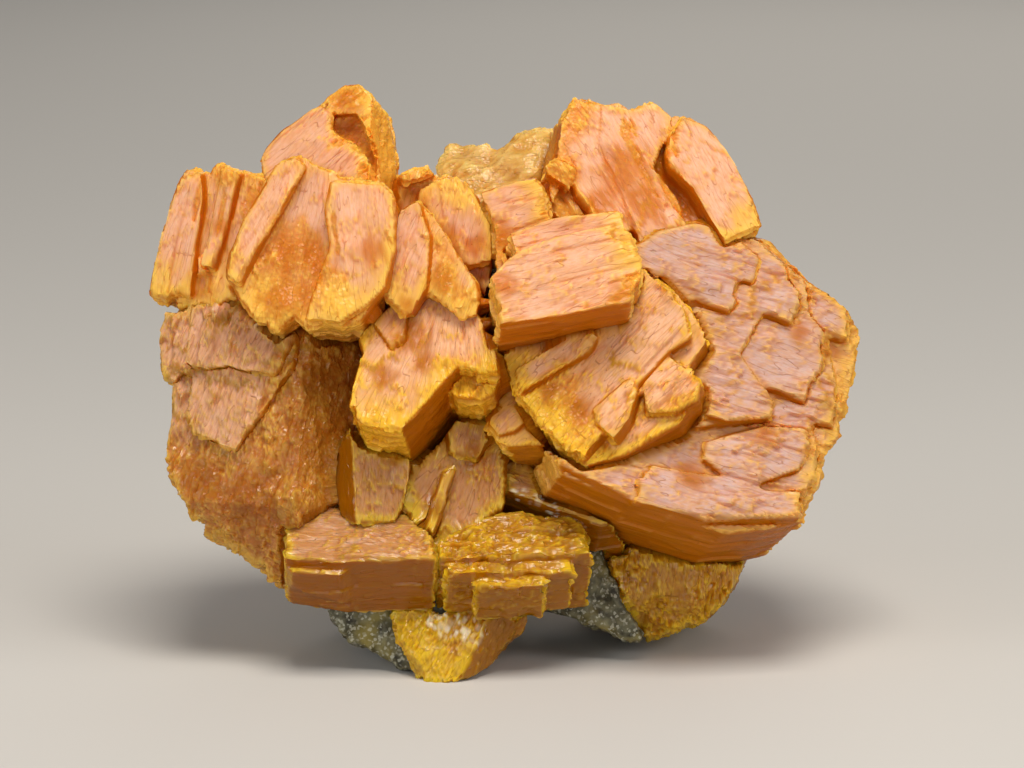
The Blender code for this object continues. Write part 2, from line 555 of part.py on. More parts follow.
    # The two rounded crystals it stands on.
    add("left_foot_crystal", (-6.0, -8.5, -24.0), -8, 14, 60, 13.0, AMBER, straight=True).plate(
        [(-12.4, -20.6), (-12.0, -18.6), (-2.6, -18.6), (0.4, -21.4), (1.3, -22.8), (1.0, -24.0),
         (-0.8, -26.0), (-2.4, -28.0), (-4.5, -28.8), (-7.2, -29.4), (-9.4, -28.6), (-11.2, -25.4)],
    ).trim((-4.8, -8.6, -21.4), 18, 50).trim((-9.6, -8.8, -26.6), -46, -16).trim((-2.0, -7.8, -25.4), 44, -12)
    add("right_foot_crystal", (15.0, -2.0, -19.5), 10, -6, 84, 19.0, HONEY, straight=True).plate(
        [(7.0, -19.6), (7.4, -14.6), (15.8, -12.0), (23.4, -14.0), (23.4, -17.8), (21.9, -21.2),
         (19.4, -23.7), (16.6, -24.6), (13.2, -25.6), (10.6, -24.6), (8.2, -22.0)],
    ).trim((16.0, -1.6, -21.5), 6, -34).trim((20.4, -0.2, -19.5), 42, -14).trim((18.0, 15.6, -18.0), 160, -14)

    # The crystals of the back, which the display face hides.
    add("back_right_crystal", (18.0, 16.0, 6.0), 158, 10, 22, 14.0).plate(
        [(5.0, 18.0), (11.0, 22.4), (17.0, 23.6), (21.6, 19.6), (25.0, 13.6), (30.0, 8.6), (32.0, 3.0),
         (31.0, -5.0), (27.6, -11.4), (17.0, -13.4), (7.0, -8.4), (4.0, 6.0)],
        broken=(6, 8, 9),
    ).plate(
        [(7.0, 18.4), (12.0, 21.6), (17.0, 22.6), (21.0, 18.0), (24.4, 12.0), (28.4, 6.6), (26.6, 1.0),
         (28.0, -4.6), (20.0, -8.4), (10.0, -5.6), (5.4, 6.4)],
        front=1.3, back=-6, broken=(5, 7, 8),
    ).plate(
        [(10.0, 18.0), (16.6, 20.6), (19.8, 15.0), (23.4, 9.6), (21.6, 5.4), (23.0, 1.0), (14.0, -2.4),
         (8.4, 7.4)],
        front=2.5, back=-4, broken=(3, 5, 6),
    ).plate(
        [(12.6, 16.0), (16.6, 17.0), (18.8, 11.4), (17.8, 7.0), (11.8, 7.4)], front=3.6, back=-3, broken=(2, 3),
    )
    add("back_crest_crystal", (-3.0, 17.0, 12.0), 184, 20, 82, 14.0).plate(
        [(-13.0, 19.4), (-9.0, 21.4), (-1.0, 21.6), (4.6, 19.4), (6.4, 10.0), (5.4, 1.4), (-3.0, -1.4),
         (-11.4, 1.0), (-14.6, 9.0)],
        broken=(5, 6),
    ).plate(
        [(-12.4, 18.4), (-9.0, 20.4), (-4.4, 20.4), (-4.0, 10.4), (-6.4, 3.6), (-11.0, 4.4), (-13.6, 10.4)],
        front=1.4, back=-5, broken=(3, 4),
    ).plate(
        [(-2.6, 20.0), (2.4, 19.4), (3.6, 12.0), (1.6, 5.4), (-2.4, 7.0)], front=0.9, back=-5, broken=(3,),
    )
    add("back_left_crystal", (-22.0, 13.0, 4.0), 206, 6, 76, 14.0).plate(
        [(-33.0, 16.0), (-29.0, 18.6), (-22.0, 20.0), (-15.0, 19.6), (-11.6, 13.6), (-12.6, 2.0),
         (-15.6, -7.4), (-23.0, -10.6), (-30.4, -8.8), (-33.0, -2.0), (-33.8, 7.0)],
        broken=(5, 6, 7),
    ).plate(
        [(-31.8, 15.4), (-27.0, 17.8), (-21.0, 18.8), (-19.6, 9.0), (-22.0, 1.4), (-27.6, -2.4),
         (-31.8, 0.6), (-32.6, 8.0)],
        front=1.4, back=-5, broken=(3, 4, 5),
    ).plate(
        [(-19.0, 18.2), (-14.6, 17.4), (-13.2, 9.6), (-15.6, 1.0), (-19.4, 2.0), (-18.4, 9.6)],
        front=0.8, back=-5, broken=(3,),
    )
    add("back_middle_crystal", (-2.0, 16.5, -6.0), 176, -8, -34, 10.0, AMBER).plate(
        [(-11.4, -2.6), (-4.0, 2.6), (5.0, 2.4), (8.0, -5.0), (4.6, -12.0), (-5.0, -13.6), (-12.0, -9.6)],
        broken=(3, 4),
    ).plate(
        [(-9.0, -3.4), (-3.0, 0.6), (3.0, 0.4), (3.6, -6.0), (-3.0, -9.0)], front=1.2, back=-4, broken=(2, 3),
    )
    add("back_low_crystal", (-22.0, 10.0, -12.0), 206, -16, 62, 12.0, HONEY).plate(
        [(-30.6, -8.6), (-22.0, -5.0), (-14.0, -8.0), (-13.4, -15.6), (-18.0, -19.6), (-24.6, -18.4),
         (-29.6, -14.6)],
        broken=(3, 4, 5),
    ).plate(
        [(-28.0, -9.4), (-22.0, -7.0), (-17.0, -9.4), (-18.4, -14.4), (-25.0, -14.6)], front=1.1, back=-4,
        broken=(2, 3),
    )
    return made


def main():
    for obj in list(bpy.data.objects):
        bpy.data.objects.remove(obj)
    finished, cutters = [], []
    for crystal in crystals():
        body = crystal_solid(crystal, 0.0)
        body.name = crystal.name
        touching = [cutter for cutter in cutters if near(body, cutter)]
        combine(body, touching, "DIFFERENCE")
        keep_largest(body)
        body.data.materials.clear()
        body.data.materials.append(material_of(crystal.color))
        finished.append(body)
        cutters.append(crystal_solid(crystal, SEAM))
    discard(cutters)
    stand = Matrix.Scale(MM, 4) @ Matrix.Translation((*MIDDLE, FOOT_HEIGHT)) @ Matrix.Rotation(-TIP, 4, "X")
    for body in finished:
        body.data.transform(stand)
    floor = slab_object(Vector((0, 0, 0)), Vector((0, 0, -1)), 0.0)
    floor.data.transform(Matrix.Scale(MM, 4))
    for body in finished:
        if min(v.co.z for v in body.data.vertices) < 0:
            combine(body, [floor], "DIFFERENCE")
    discard([floor])


main()
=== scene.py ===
import itertools
import json
import math

import bmesh
import bpy
import numpy as np
from mathutils import Matrix, Vector
from mathutils.bvhtree import BVHTree

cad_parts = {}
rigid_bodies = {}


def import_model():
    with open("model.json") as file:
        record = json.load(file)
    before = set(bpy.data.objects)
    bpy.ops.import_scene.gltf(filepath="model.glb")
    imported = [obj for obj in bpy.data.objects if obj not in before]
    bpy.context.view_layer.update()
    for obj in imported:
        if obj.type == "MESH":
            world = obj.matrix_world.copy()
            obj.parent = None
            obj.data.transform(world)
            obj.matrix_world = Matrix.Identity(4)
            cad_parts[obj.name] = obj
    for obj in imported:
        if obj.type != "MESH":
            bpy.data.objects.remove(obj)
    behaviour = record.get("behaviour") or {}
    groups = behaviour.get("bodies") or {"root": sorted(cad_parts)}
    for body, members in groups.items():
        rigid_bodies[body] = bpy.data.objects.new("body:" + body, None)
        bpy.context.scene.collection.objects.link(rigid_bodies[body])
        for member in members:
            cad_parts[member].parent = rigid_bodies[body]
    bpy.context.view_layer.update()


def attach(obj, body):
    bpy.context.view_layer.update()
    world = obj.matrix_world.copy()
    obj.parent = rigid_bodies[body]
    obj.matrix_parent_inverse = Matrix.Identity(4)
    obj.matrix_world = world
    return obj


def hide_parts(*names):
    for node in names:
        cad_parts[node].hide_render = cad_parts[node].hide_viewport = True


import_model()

MM = 0.001
TIP = math.radians(12)  # the display face leans back this far
FOOT_HEIGHT = 26.7  # mm from the resting plane up to the middle of the display face
MIDDLE = Vector((0.73, -3.3))  # mm right and back from the middle of the specimen to the middle of its face
STAND = Matrix.Scale(MM, 4) @ Matrix.Translation((*MIDDLE, FOOT_HEIGHT)) @ Matrix.Rotation(-TIP, 4, "X")

VOXEL = {"front": 0.2, "book": 0.23, "back": 0.42}  # mm, width of one square of a crystal's skin
STRETCH = 1.6  # a skin square is this much longer along the fibres
SPREAD = 1.9  # square mm over which the share of flat face around each place is taken
CELL = 0.5  # mm, one cell of the grid that says where the specimen is solid
SEAM = 1.1  # mm, widest seam that is grown shut
BITE = 0.06  # mm that a crystal then grows into its neighbour
CLOSE = 0.56  # how solid the grid is round a place before a seam is looked for there
STRAND = 0.34  # mm, width of a fibre in relief
LAYER = 0.65  # mm, usual thickness of one layer in a crystal's blunt end
SHEET = 1.1  # mm, usual thickness of one sheet in its side wall
CREASE = 0.065  # mm that the sharpest edges and grooves stand out or in
MARGIN = 4.0  # mm of empty grid on each side of the specimen
VIEW = 0.1024  # m, width of the picture at the display face
SHARP = math.radians(34)  # edges steeper than this are shaded sharp
GLINT_WHITE = "efe6c8"  # painted glint: the white highlight of a small facet


# Each piece, in the order in which they cut each other: a point on its face, how far that is turned right
# and up, the slope of its fibres seen from the front, the way along the fibres in which its plates end, and
# its look.
CRYSTALS = {
    "matrix": ((0.0, 1.5, -6.0), 0, 0, 30, 1, "rock"),
    "centre_block_crystal": ((5.0, -15.5, 10.0), 2, 18, 14, 1, "peach"),
    "centre_wedge_crystal": ((9.0, -12.4, 1.5), -8, 18, 46, -1, "amber"),
    "column_crystal": ((-8.5, -12.5, 2.0), -6, 22, 76, -1, "amber"),
    "wedge_crystal": ((-9.0, -11.0, 12.0), -4, 12, 70, -1, "peach"),
    "left_fan_crystal": ((-19.5, -12.0, 14.0), -4, 9, 82, -1, "peach"),
    "peak_crystal": ((-18.5, -4.5, 24.0), -16, 16, 40, 1, "peach"),
    "crest_crystal": ((-5.0, -7.0, 15.5), 4, 10, 80, 1, "peach"),
    "shelf_crystal": ((0.5, -8.5, 16.5), -8, 12, 14, 1, "peach"),
    "upper_right_crystal": ((13.0, -3.5, 22.0), 10, 20, -61, 1, "peach"),
    "back_top_crystal": ((-1.0, 4.0, 22.0), -8, 34, 8, 1, "cream"),
    "small_amber_crystal": ((0.5, -9.5, -4.0), -14, 20, 40, -1, "amber"),
    "right_bar_crystal": ((1.5, -10.0, -15.5), 4, 44, 2, 1, "golden"),
    "left_bar_crystal": ((-14.5, -10.0, -15.0), -4, 46, -2, -1, "honey"),
    "lower_prism_crystal": ((-13.5, -9.5, -9.0), 8, 4, 88, -1, "honey"),
    "lower_fan_crystal": ((-5.5, -8.5, -9.0), 4, 8, 70, -1, "honey"),
    "right_book_crystal": ((20.0, -7.0, 0.0), 15, 16, -18, 1, "dusty_sheen"),
    "lower_shelf_crystal": ((5.5, -6.6, -11.0), 6, 30, -16, 1, "honey"),
    "left_tower_crystal": ((-30.0, -6.0, 14.0), -18, 6, 79, -1, "peach"),
    "left_body_crystal": ((-25.5, -8.0, -3.0), -14, 9, 72, -1, "brown"),
    "left_foot_crystal": ((-6.0, -8.5, -24.0), -8, 14, 60, -1, "golden"),
    "right_foot_crystal": ((15.0, -2.0, -19.5), 10, -6, 84, -1, "golden"),
    "back_right_crystal": ((18.0, 16.0, 6.0), 158, 10, 22, 1, "peach"),
    "back_crest_crystal": ((-3.0, 17.0, 12.0), 184, 20, 82, -1, "peach"),
    "back_left_crystal": ((-22.0, 13.0, 4.0), 206, 6, 76, -1, "peach"),
    "back_middle_crystal": ((-2.0, 16.5, -6.0), 176, -8, -34, 1, "amber"),
    "back_low_crystal": ((-22.0, 10.0, -12.0), 206, -16, 62, -1, "honey"),
}


# Crystals whose fibres spread like a fan, and the mm from the middle of the face to the point that they
# spread from.
FANS = {"left_fan_crystal": 25, "column_crystal": 19, "left_tower_crystal": 60, "lower_fan_crystal": 22}


# How many mm before its blunt ends a crystal turns from its peach skin to clear yellow, where that isn't 1.2;
# that yellow is partly painted glow of light through the thin end.
TIPS = {
    "left_fan_crystal": 5.0, "column_crystal": 5.5, "wedge_crystal": 5.5, "left_tower_crystal": 5.5,
    "centre_wedge_crystal": 4.0, "crest_crystal": 4.5, "centre_block_crystal": 3.5, "shelf_crystal": 3.5,
    "upper_right_crystal": 4.0, "right_book_crystal": 3.0, "peak_crystal": 2.5,
    "left_foot_crystal": 6.0, "lower_fan_crystal": 3.0, "back_low_crystal": 5.0, "back_crest_crystal": 4.0,
    "back_right_crystal": 4.0, "back_left_crystal": 4.5,
}
CLEAR = 1.2


# The plates that lie on the faces, seen from the front: how far each stands out, or in where it is below 0,
# and its outline as x to the right and z up in mm from the middle of the display face.
FLAKES = {
    "right_book_crystal": (
        (0.25, ((14.2, 16.0), (18.7, 16.2), (22.7, 15.5), (25.4, 14.0), (27.2, 12.0), (26.6, 10.5),
            (25.4, 10.9), (23.2, 12.0), (19.2, 13.0), (15.7, 14.5))),
        (0.3, ((19.2, 12.5), (23.2, 11.9), (25.5, 10.8), (25.2, 9.3), (23.9, 9.5), (22.0, 10.4),
            (18.7, 11.2))),
        (0.4, ((14.2, 13.2), (18.2, 11.5), (21.7, 10.3), (23.8, 9.3), (22.9, 6.5), (20.7, 7.3), (18.7, 8.3),
            (16.0, 10.5), (14.2, 12.0))),
        (0.45, ((23.7, 10.5), (25.7, 9.8), (27.4, 12.0), (29.5, 10.5), (28.9, 8.8), (28.2, 6.5), (27.6, 5.8),
            (25.4, 6.4), (23.5, 7.5), (23.2, 8.5))),
        (0.4, ((23.7, 7.3), (25.6, 6.0), (27.6, 5.5), (28.9, 6.5), (31.2, 5.3), (30.8, -0.1), (29.9, -1.7),
            (27.4, -1.0), (25.3, -0.4), (22.9, 1.9), (22.5, 3.4))),
        (0.45, ((29.4, 9.3), (32.1, 8.3), (34.1, 6.4), (33.6, 4.2), (31.4, 5.0), (29.1, 6.5), (28.9, 8.3))),
        (0.3, ((21.3, 0.3), (23.9, -0.4), (25.9, -1.8), (25.5, -3.2), (24.4, -4.3), (22.1, -3.7),
            (20.3, -3.0))),
        (0.35, ((25.9, -0.8), (29.7, -0.7), (32.3, -1.2), (31.8, -4.2), (30.5, -3.9), (27.4, -2.3))),
        (0.3, ((29.5, -4.3), (31.8, -4.3), (32.8, -2.7), (32.8, -4.0), (32.2, -5.8), (31.1, -6.3),
            (29.7, -5.3))),
        (0.35, ((22.8, -3.4), (26.4, -3.7), (29.3, -4.0), (29.0, -6.9), (26.4, -6.0), (22.8, -4.8),
            (19.9, -4.1), (21.3, -3.7))),
        (0.35, ((19.3, -5.4), (19.1, -6.2), (20.3, -6.8), (18.9, -7.4), (19.7, -8.3), (21.8, -9.0),
            (24.1, -9.9), (28.5, -10.5), (30.4, -10.6), (30.4, -7.3), (29.0, -7.0), (26.4, -6.2),
            (22.8, -4.9), (19.9, -4.3))),
        (0.45, ((13.7, -7.8), (15.3, -7.9), (15.6, -8.8), (17.0, -9.9), (18.9, -10.9), (20.8, -11.1),
            (24.1, -11.4), (28.6, -10.5), (28.6, -13.6), (24.1, -13.3), (20.9, -13.2), (15.2, -12.5),
            (12.1, -11.7), (12.1, -9.4), (13.5, -9.1))),
        (0.2, ((15.3, -7.9), (18.9, -8.6), (22.6, -9.5), (27.2, -10.0), (28.6, -10.9), (28.6, -12.9),
            (24.1, -12.9), (20.9, -11.9), (18.9, -10.9), (17.0, -9.9), (15.6, -8.8))),
        (0.3, ((12.1, -11.9), (15.2, -12.7), (20.9, -13.4), (25.4, -14.8), (25.4, -15.5), (20.8, -14.5),
            (15.2, -13.2), (11.6, -12.4))),
    ),
    "centre_block_crystal": (
        (0.3, ((0.4, 13.0), (4.3, 14.2), (9.2, 15.5), (9.5, 14.1), (7.7, 13.7), (4.3, 13.0), (1.7, 11.7),
            (0.5, 12.2))),
        (0.3, ((1.3, 5.5), (6.5, 7.9), (6.5, 7.1), (11.7, 8.5), (11.8, 7.4), (6.7, 5.8), (1.9, 3.9))),
        (-0.7, ((11.1, 10.5), (12.0, 10.8), (12.7, 11.1), (12.1, 9.5), (11.7, 8.8), (11.4, 9.3))),
        (0.2, ((-2.0, 10.5), (0.5, 11.5), (4.3, 12.5), (7.5, 13.5), (11.7, 14.0), (12.2, 12.0), (8.0, 10.8),
            (4.3, 9.8), (-0.7, 8.8))),
    ),
    "centre_wedge_crystal": (
        (0.25, ((7.6, 5.9), (10.7, 7.3), (12.7, 8.5), (11.7, 6.5), (8.2, 4.5))),
        (0.45, ((11.7, -0.7), (15.2, 2.5), (16.1, 1.9), (17.2, 0.6), (14.7, -1.7), (12.4, -2.7))),
        (0.3, ((16.2, 0.1), (18.0, 1.0), (18.6, -0.4), (18.6, -2.0), (16.7, -3.5), (14.7, -2.2))),
        (0.3, ((10.2, 3.0), (12.7, 5.5), (15.2, 9.0), (17.4, 7.3), (16.4, 5.3), (14.2, 3.0), (12.7, 1.4))),
    ),
    "column_crystal": (
        (0.4, ((-6.6, 0.0), (-4.8, 1.4), (-3.2, -0.5), (-5.3, -2.2))),
        (0.3, ((-3.9, -0.5), (-1.3, 0.7), (-1.0, -0.3), (-2.7, -1.9), (-3.9, -1.4))),
        (0.3, ((-15.2, 3.7), (-14.5, 5.2), (-10.2, 5.4), (-10.5, 4.0), (-11.4, 2.6), (-12.4, 3.0),
            (-13.5, 2.3), (-15.0, 2.8))),
    ),
    "wedge_crystal": (
        (0.25, ((-11.1, 17.1), (-9.3, 18.2), (-8.1, 14.4), (-8.1, 12.0), (-8.5, 9.6), (-9.0, 8.1),
            (-10.2, 6.4), (-11.8, 6.4), (-13.3, 8.9), (-13.0, 11.3), (-11.8, 14.4))),
    ),
    "left_fan_crystal": (
        (-0.61, ((-20.5, 12.3), (-19.7, 14.4), (-18.8, 14.7), (-18.1, 13.0), (-18.1, 11.3), (-18.8, 9.6),
            (-19.7, 10.3))),
        (0.35, ((-24.1, 12.3), (-23.6, 12.6), (-22.7, 11.6), (-22.9, 11.4))),
        (0.3, ((-28.0, 10.6), (-26.5, 13.0), (-23.6, 17.1), (-22.7, 17.8), (-24.6, 14.7), (-26.8, 10.6),
            (-27.5, 9.8))),
        (-0.3, ((-17.8, 16.4), (-17.3, 16.9), (-16.8, 14.4), (-16.6, 13.2), (-17.3, 13.5))),
    ),
    "left_tower_crystal": (
        (0.9, ((-30.8, 12.7), (-30.2, 13.7), (-29.2, 14.7), (-28.7, 14.4), (-29.2, 12.3), (-29.9, 11.2),
            (-30.7, 11.5))),
        (-0.4, ((-31.7, 15.9), (-31.4, 18.8), (-30.7, 20.0), (-30.9, 18.3), (-31.4, 15.9))),
        (-0.4, ((-29.2, 14.7), (-28.7, 18.8), (-28.2, 20.0), (-28.0, 18.8), (-28.7, 15.6))),
        (-0.4, ((-26.8, 17.8), (-25.8, 19.8), (-24.4, 20.0), (-25.8, 16.9), (-26.5, 16.4))),
        (0.3, ((-36.0, 9.6), (-35.3, 14.4), (-34.0, 17.8), (-32.4, 21.0), (-31.6, 21.0), (-32.4, 17.8),
            (-33.6, 12.0), (-34.0, 7.6), (-35.3, 8.1))),
    ),
    "peak_crystal": (
        (-0.5, ((-17.8, 25.1), (-16.1, 26.4), (-14.5, 26.6), (-13.9, 24.1), (-13.0, 20.3), (-13.9, 20.0),
            (-14.8, 22.1), (-15.8, 23.9), (-17.3, 23.6))),
        (0.35, ((-24.8, 22.4), (-22.7, 24.6), (-20.2, 26.3), (-18.2, 27.1), (-17.1, 26.2), (-17.8, 25.1),
            (-17.3, 23.6), (-15.8, 23.9), (-14.7, 22.1), (-15.4, 21.7), (-14.7, 20.0), (-24.1, 20.0),
            (-24.8, 21.2))),
        (-0.4, ((-15.3, 21.7), (-14.5, 22.1), (-13.3, 20.7), (-13.7, 19.9), (-14.7, 20.7))),
    ),
    "crest_crystal": (
        (0.4, ((-10.9, 21.0), (-10.3, 21.4), (-8.0, 21.4), (-7.7, 20.7), (-10.1, 20.0))),
        (0.3, ((-7.4, 20.5), (-5.5, 20.3), (-4.0, 19.3), (-2.1, 15.9), (-2.1, 13.0), (-4.5, 12.5),
            (-6.4, 15.9))),
    ),
    "shelf_crystal": (
        (0.25, ((-3.2, 18.7), (-1.7, 19.7), (2.1, 20.5), (3.0, 18.5), (-0.7, 18.0), (-2.7, 17.7))),
        (0.3, ((-2.7, 17.5), (3.0, 18.2), (3.5, 16.5), (-0.5, 15.0), (-1.7, 14.5))),
    ),
    "upper_right_crystal": (
        (-0.45, ((11.6, 26.7), (12.2, 25.7), (12.0, 24.4), (14.2, 19.5), (14.7, 18.5), (14.0, 18.7),
            (11.7, 22.9), (10.7, 24.9))),
        (-0.6, ((15.3, 23.6), (16.4, 25.8), (16.7, 25.1), (16.2, 23.2), (15.7, 22.2), (15.1, 22.1),
            (14.0, 20.9), (13.7, 21.7), (15.1, 23.2))),
        (-0.35, ((2.4, 20.5), (3.8, 21.4), (5.0, 20.0), (4.3, 18.7), (2.8, 19.0))),
        (0.45, ((3.6, 21.8), (5.4, 22.7), (6.3, 21.2), (5.0, 20.7))),
        (-0.5, ((3.5, 18.2), (5.0, 18.7), (6.1, 16.6), (3.8, 16.5))),
        (0.35, ((5.0, 18.7), (6.5, 19.7), (8.5, 16.5), (6.1, 16.6))),
        (0.3, ((8.7, 25.9), (9.7, 25.2), (11.7, 21.4), (14.0, 18.0), (12.2, 15.5), (9.7, 19.5), (7.7, 22.9))),
        (-0.5, ((14.2, 21.4), (15.2, 21.9), (16.4, 19.5), (18.2, 16.5), (16.7, 16.5), (15.2, 18.5))),
        (0.35, ((14.3, 17.7), (15.3, 18.2), (16.7, 16.5), (16.4, 15.7), (15.2, 15.7))),
    ),
    "left_body_crystal": (
        (0.3, ((-33.1, 5.4), (-23.0, 5.4), (-23.3, 3.0), (-24.2, 1.6), (-25.1, 0.1), (-28.2, 0.3),
            (-30.5, 1.2), (-31.0, 0.9), (-33.4, 1.6))),
        (0.3, ((-33.8, 1.4), (-30.5, 0.7), (-28.2, 0.0), (-24.4, 0.4), (-24.9, -2.4), (-26.1, -6.4),
            (-27.5, -6.9), (-29.1, -6.2), (-31.0, -4.6), (-31.5, -3.7), (-32.7, -3.6), (-33.6, -1.2))),
        (-0.2, ((-29.2, 5.5), (-27.5, 8.1), (-26.5, 7.9), (-28.7, 5.2))),
        (0.3, ((-23.1, 3.5), (-20.7, 5.0), (-19.3, 5.5), (-20.2, 3.3), (-22.2, 3.1))),
        (0.4, ((-23.3, 4.0), (-21.1, 5.4), (-19.7, 5.4), (-20.9, 4.0), (-21.8, 2.3), (-23.0, 3.0))),
        (0.25, ((-22.0, 1.9), (-21.1, 2.1), (-20.9, 1.4), (-21.8, -0.4), (-22.3, 0.7))),
        (0.3, ((-34.9, 3.3), (-33.4, 3.0), (-33.1, 1.4), (-34.1, 0.6), (-34.8, 1.4))),
        (0.3, ((-30.5, 5.4), (-29.1, 5.4), (-29.6, 3.0), (-30.8, 0.9), (-31.1, 1.4))),
    ),
    "left_bar_crystal": (
        (0.25, ((-22.3, -15.4), (-21.6, -13.4), (-19.7, -12.2), (-16.9, -12.5), (-15.7, -14.2),
            (-10.7, -14.4), (-10.5, -15.8), (-12.6, -17.3), (-16.1, -17.1), (-19.7, -17.5), (-22.3, -16.8))),
        (0.25, ((-16.1, -17.0), (-15.7, -16.1), (-11.4, -14.9), (-9.5, -15.8), (-7.9, -17.3))),
    ),
    "right_bar_crystal": (
        (0.25, ((-4.3, -15.6), (-3.2, -15.1), (0.8, -15.4), (0.8, -16.8), (-3.2, -16.2))),
        (0.3, ((-4.2, -14.5), (0.9, -15.0), (6.8, -15.0), (7.0, -16.5), (3.5, -17.0), (-4.2, -16.8))),
        (0.25, ((-4.2, -12.9), (-1.1, -12.9), (4.2, -13.9), (6.8, -14.5), (0.9, -14.7), (-4.2, -14.2))),
    ),
}

SOFT_BOWL = -0.61  # mm, the depth that marks a hollow as a soft bowl without a rim
PLATE_SHARE = 0.65  # the share of the traced height that a plate stands out
BEVEL = 0.4  # mm, how far the blunt end of a plate slopes


# Spots where a crystal is clear right through, painted with a deep orange glow for the light through it: x, z
# and radius in mm, seen from the front.
PAINTED_GLOWS = {
    "left_fan_crystal": ((-19.3, 12.5, 2.2), (-22.0, 12.8, 2.0), (-13.8, 12.8, 1.9), (-22.4, 8.2, 2.6)),
    "column_crystal": ((-9.8, 4.6, 2.4), (-8.6, 2.0, 1.6), (-12.5, 0.5, 1.5)),
    "wedge_crystal": ((-9.8, 7.2, 1.5), (-7.0, 10.0, 1.8)),
    "upper_right_crystal": (
        (11.0, 21.5, 3.2), (13.2, 18.0, 2.8), (15.4, 20.8, 1.8), (9.0, 18.2, 2.0), (17.5, 18.2, 1.6)
    ),
    "crest_crystal": ((-6.3, 14.2, 1.8), (-3.6, 13.6, 1.4), (-9.4, 18.8, 1.6)),
    "peak_crystal": ((-13.2, 23.5, 1.8), (-16.2, 28.2, 1.6)),
    "left_body_crystal": ((-26.0, -11.5, 5.0), (-30.5, -9.5, 3.5), (-19.5, 0.5, 3.0), (-19.0, -6.0, 4.5)),
    "left_tower_crystal": ((-30.8, 9.6, 1.8), (-27.0, 12.0, 1.8), (-29.0, 15.5, 1.2)),
    "centre_wedge_crystal": ((6.5, -2.6, 2.0), (3.4, -0.6, 1.4)),
    "centre_block_crystal": ((10.8, 8.6, 1.8), (1.0, 5.2, 1.6), (-0.8, 9.5, 1.4)),
    "shelf_crystal": ((-1.0, 14.5, 1.8), (4.5, 16.8, 1.6)),
    "right_book_crystal": (
        (14.5, 5.5, 2.0), (28.5, 5.2, 1.4), (24.5, -5.0, 1.6), (31.5, 3.5, 1.4), (17.5, -8.5, 2.0)
    ),
    "lower_prism_crystal": ((-12.0, -7.0, 1.6),),
    "lower_fan_crystal": ((-3.8, -7.0, 1.8), (-7.6, -12.0, 1.5)),
    "back_right_crystal": ((13.5, 9.5, 4.5), (22.0, 1.5, 3.5), (16.0, -4.5, 2.8), (26.0, 9.0, 2.5)),
    "back_crest_crystal": ((-5.0, 15.5, 3.5), (-1.0, 7.0, 3.0)),
    "back_left_crystal": ((-21.0, 9.0, 4.5), (-26.0, -0.5, 3.5), (-16.5, 0.5, 2.5)),
    "back_middle_crystal": ((-3.0, -6.0, 2.0),),
}


# Spots where small facets get painted glints, white highlights, given like the spots above.
PAINTED_GLINTS = {
    "left_foot_crystal": ((-6.6, -23.6, 1.7), (-4.2, -24.4, 1.5)),
    "lower_shelf_crystal": ((0.6, -10.8, 0.8), (2.4, -11.6, 0.7), (4.2, -12.4, 0.7)),
}


# Where a face is raw and granular instead of smooth and bloomed, as outlines like those above.
RAW = {
    "left_fan_crystal": (
        ((-26.5, 10.3), (-23.6, 16.9), (-20.2, 15.9), (-18.1, 13.0), (-15.4, 9.6), (-13.4, 8.1), (-15.4, 5.7),
            (-20.7, 6.0), (-22.7, 5.5), (-26.5, 7.2)),
    ),
    "wedge_crystal": (
        ((-8.1, 13.0), (-8.4, 16.9), (-5.2, 12.3), (-3.5, 8.4), (-4.7, 6.2), (-8.4, 9.8)),
    ),
    "peak_crystal": (
        ((-15.9, 28.7), (-13.9, 28.2), (-11.5, 25.8), (-11.5, 20.3), (-13.0, 20.3), (-14.5, 26.8)),
        ((-17.8, 28.2), (-15.9, 29.9), (-14.4, 29.7), (-14.7, 26.8), (-17.1, 26.3)),
    ),
    "left_body_crystal": (
        ((-23.5, 1.6), (-21.1, 5.0), (-14.0, 5.0), (-13.0, -1.7), (-15.3, -11.1), (-20.0, -17.8),
            (-25.6, -17.8), (-26.3, -6.9), (-24.9, -2.4)),
        ((-37.3, -7.3), (-31.5, -4.0), (-26.3, -6.9), (-20.0, -7.8), (-20.0, -21.8), (-25.4, -21.6),
            (-34.9, -16.2), (-37.3, -9.7)),
    ),
    "column_crystal": (
        ((-10.2, -4.5), (-6.7, -0.3), (-5.8, 2.3), (-1.3, 2.1), (-0.8, -0.7), (-8.4, -6.9), (-10.7, -5.0)),
        ((-15.0, -4.0), (-13.5, -2.9), (-11.2, -5.0), (-12.1, -5.9), (-14.0, -5.0)),
    ),
    "centre_wedge_crystal": (
        ((0.4, -0.9), (5.0, 1.9), (8.0, -1.7), (7.8, -4.0), (10.1, -5.9), (14.7, -5.0), (7.0, -8.8),
            (4.2, -6.5), (0.4, -2.2)),
        ((14.7, -1.7), (18.2, 1.4), (19.0, -2.5), (16.7, -4.3)),
    ),
    "upper_right_crystal": (
        ((4.8, 28.9), (8.7, 27.9), (9.2, 25.9), (6.3, 23.4), (8.5, 16.2), (3.5, 16.0), (2.3, 20.5),
            (4.3, 22.9)),
    ),
    "shelf_crystal": (
        ((-2.2, 16.5), (-0.2, 15.5), (0.0, 12.0), (-2.0, 10.5)),
    ),
    "left_foot_crystal": (
        ((-8.4, -20.0), (-4.5, -19.6), (-1.8, -21.4), (-2.4, -24.4), (-5.0, -24.6), (-8.0, -22.6)),
    ),
    "left_tower_crystal": (
        ((-36.0, 9.6), (-31.4, 8.6), (-31.6, 7.2), (-34.8, 7.2)),
        ((-30.2, 21.7), (-24.1, 21.0), (-26.1, 19.3), (-29.2, 19.8)),
    ),
}


# Steady random numbers and smooth noise


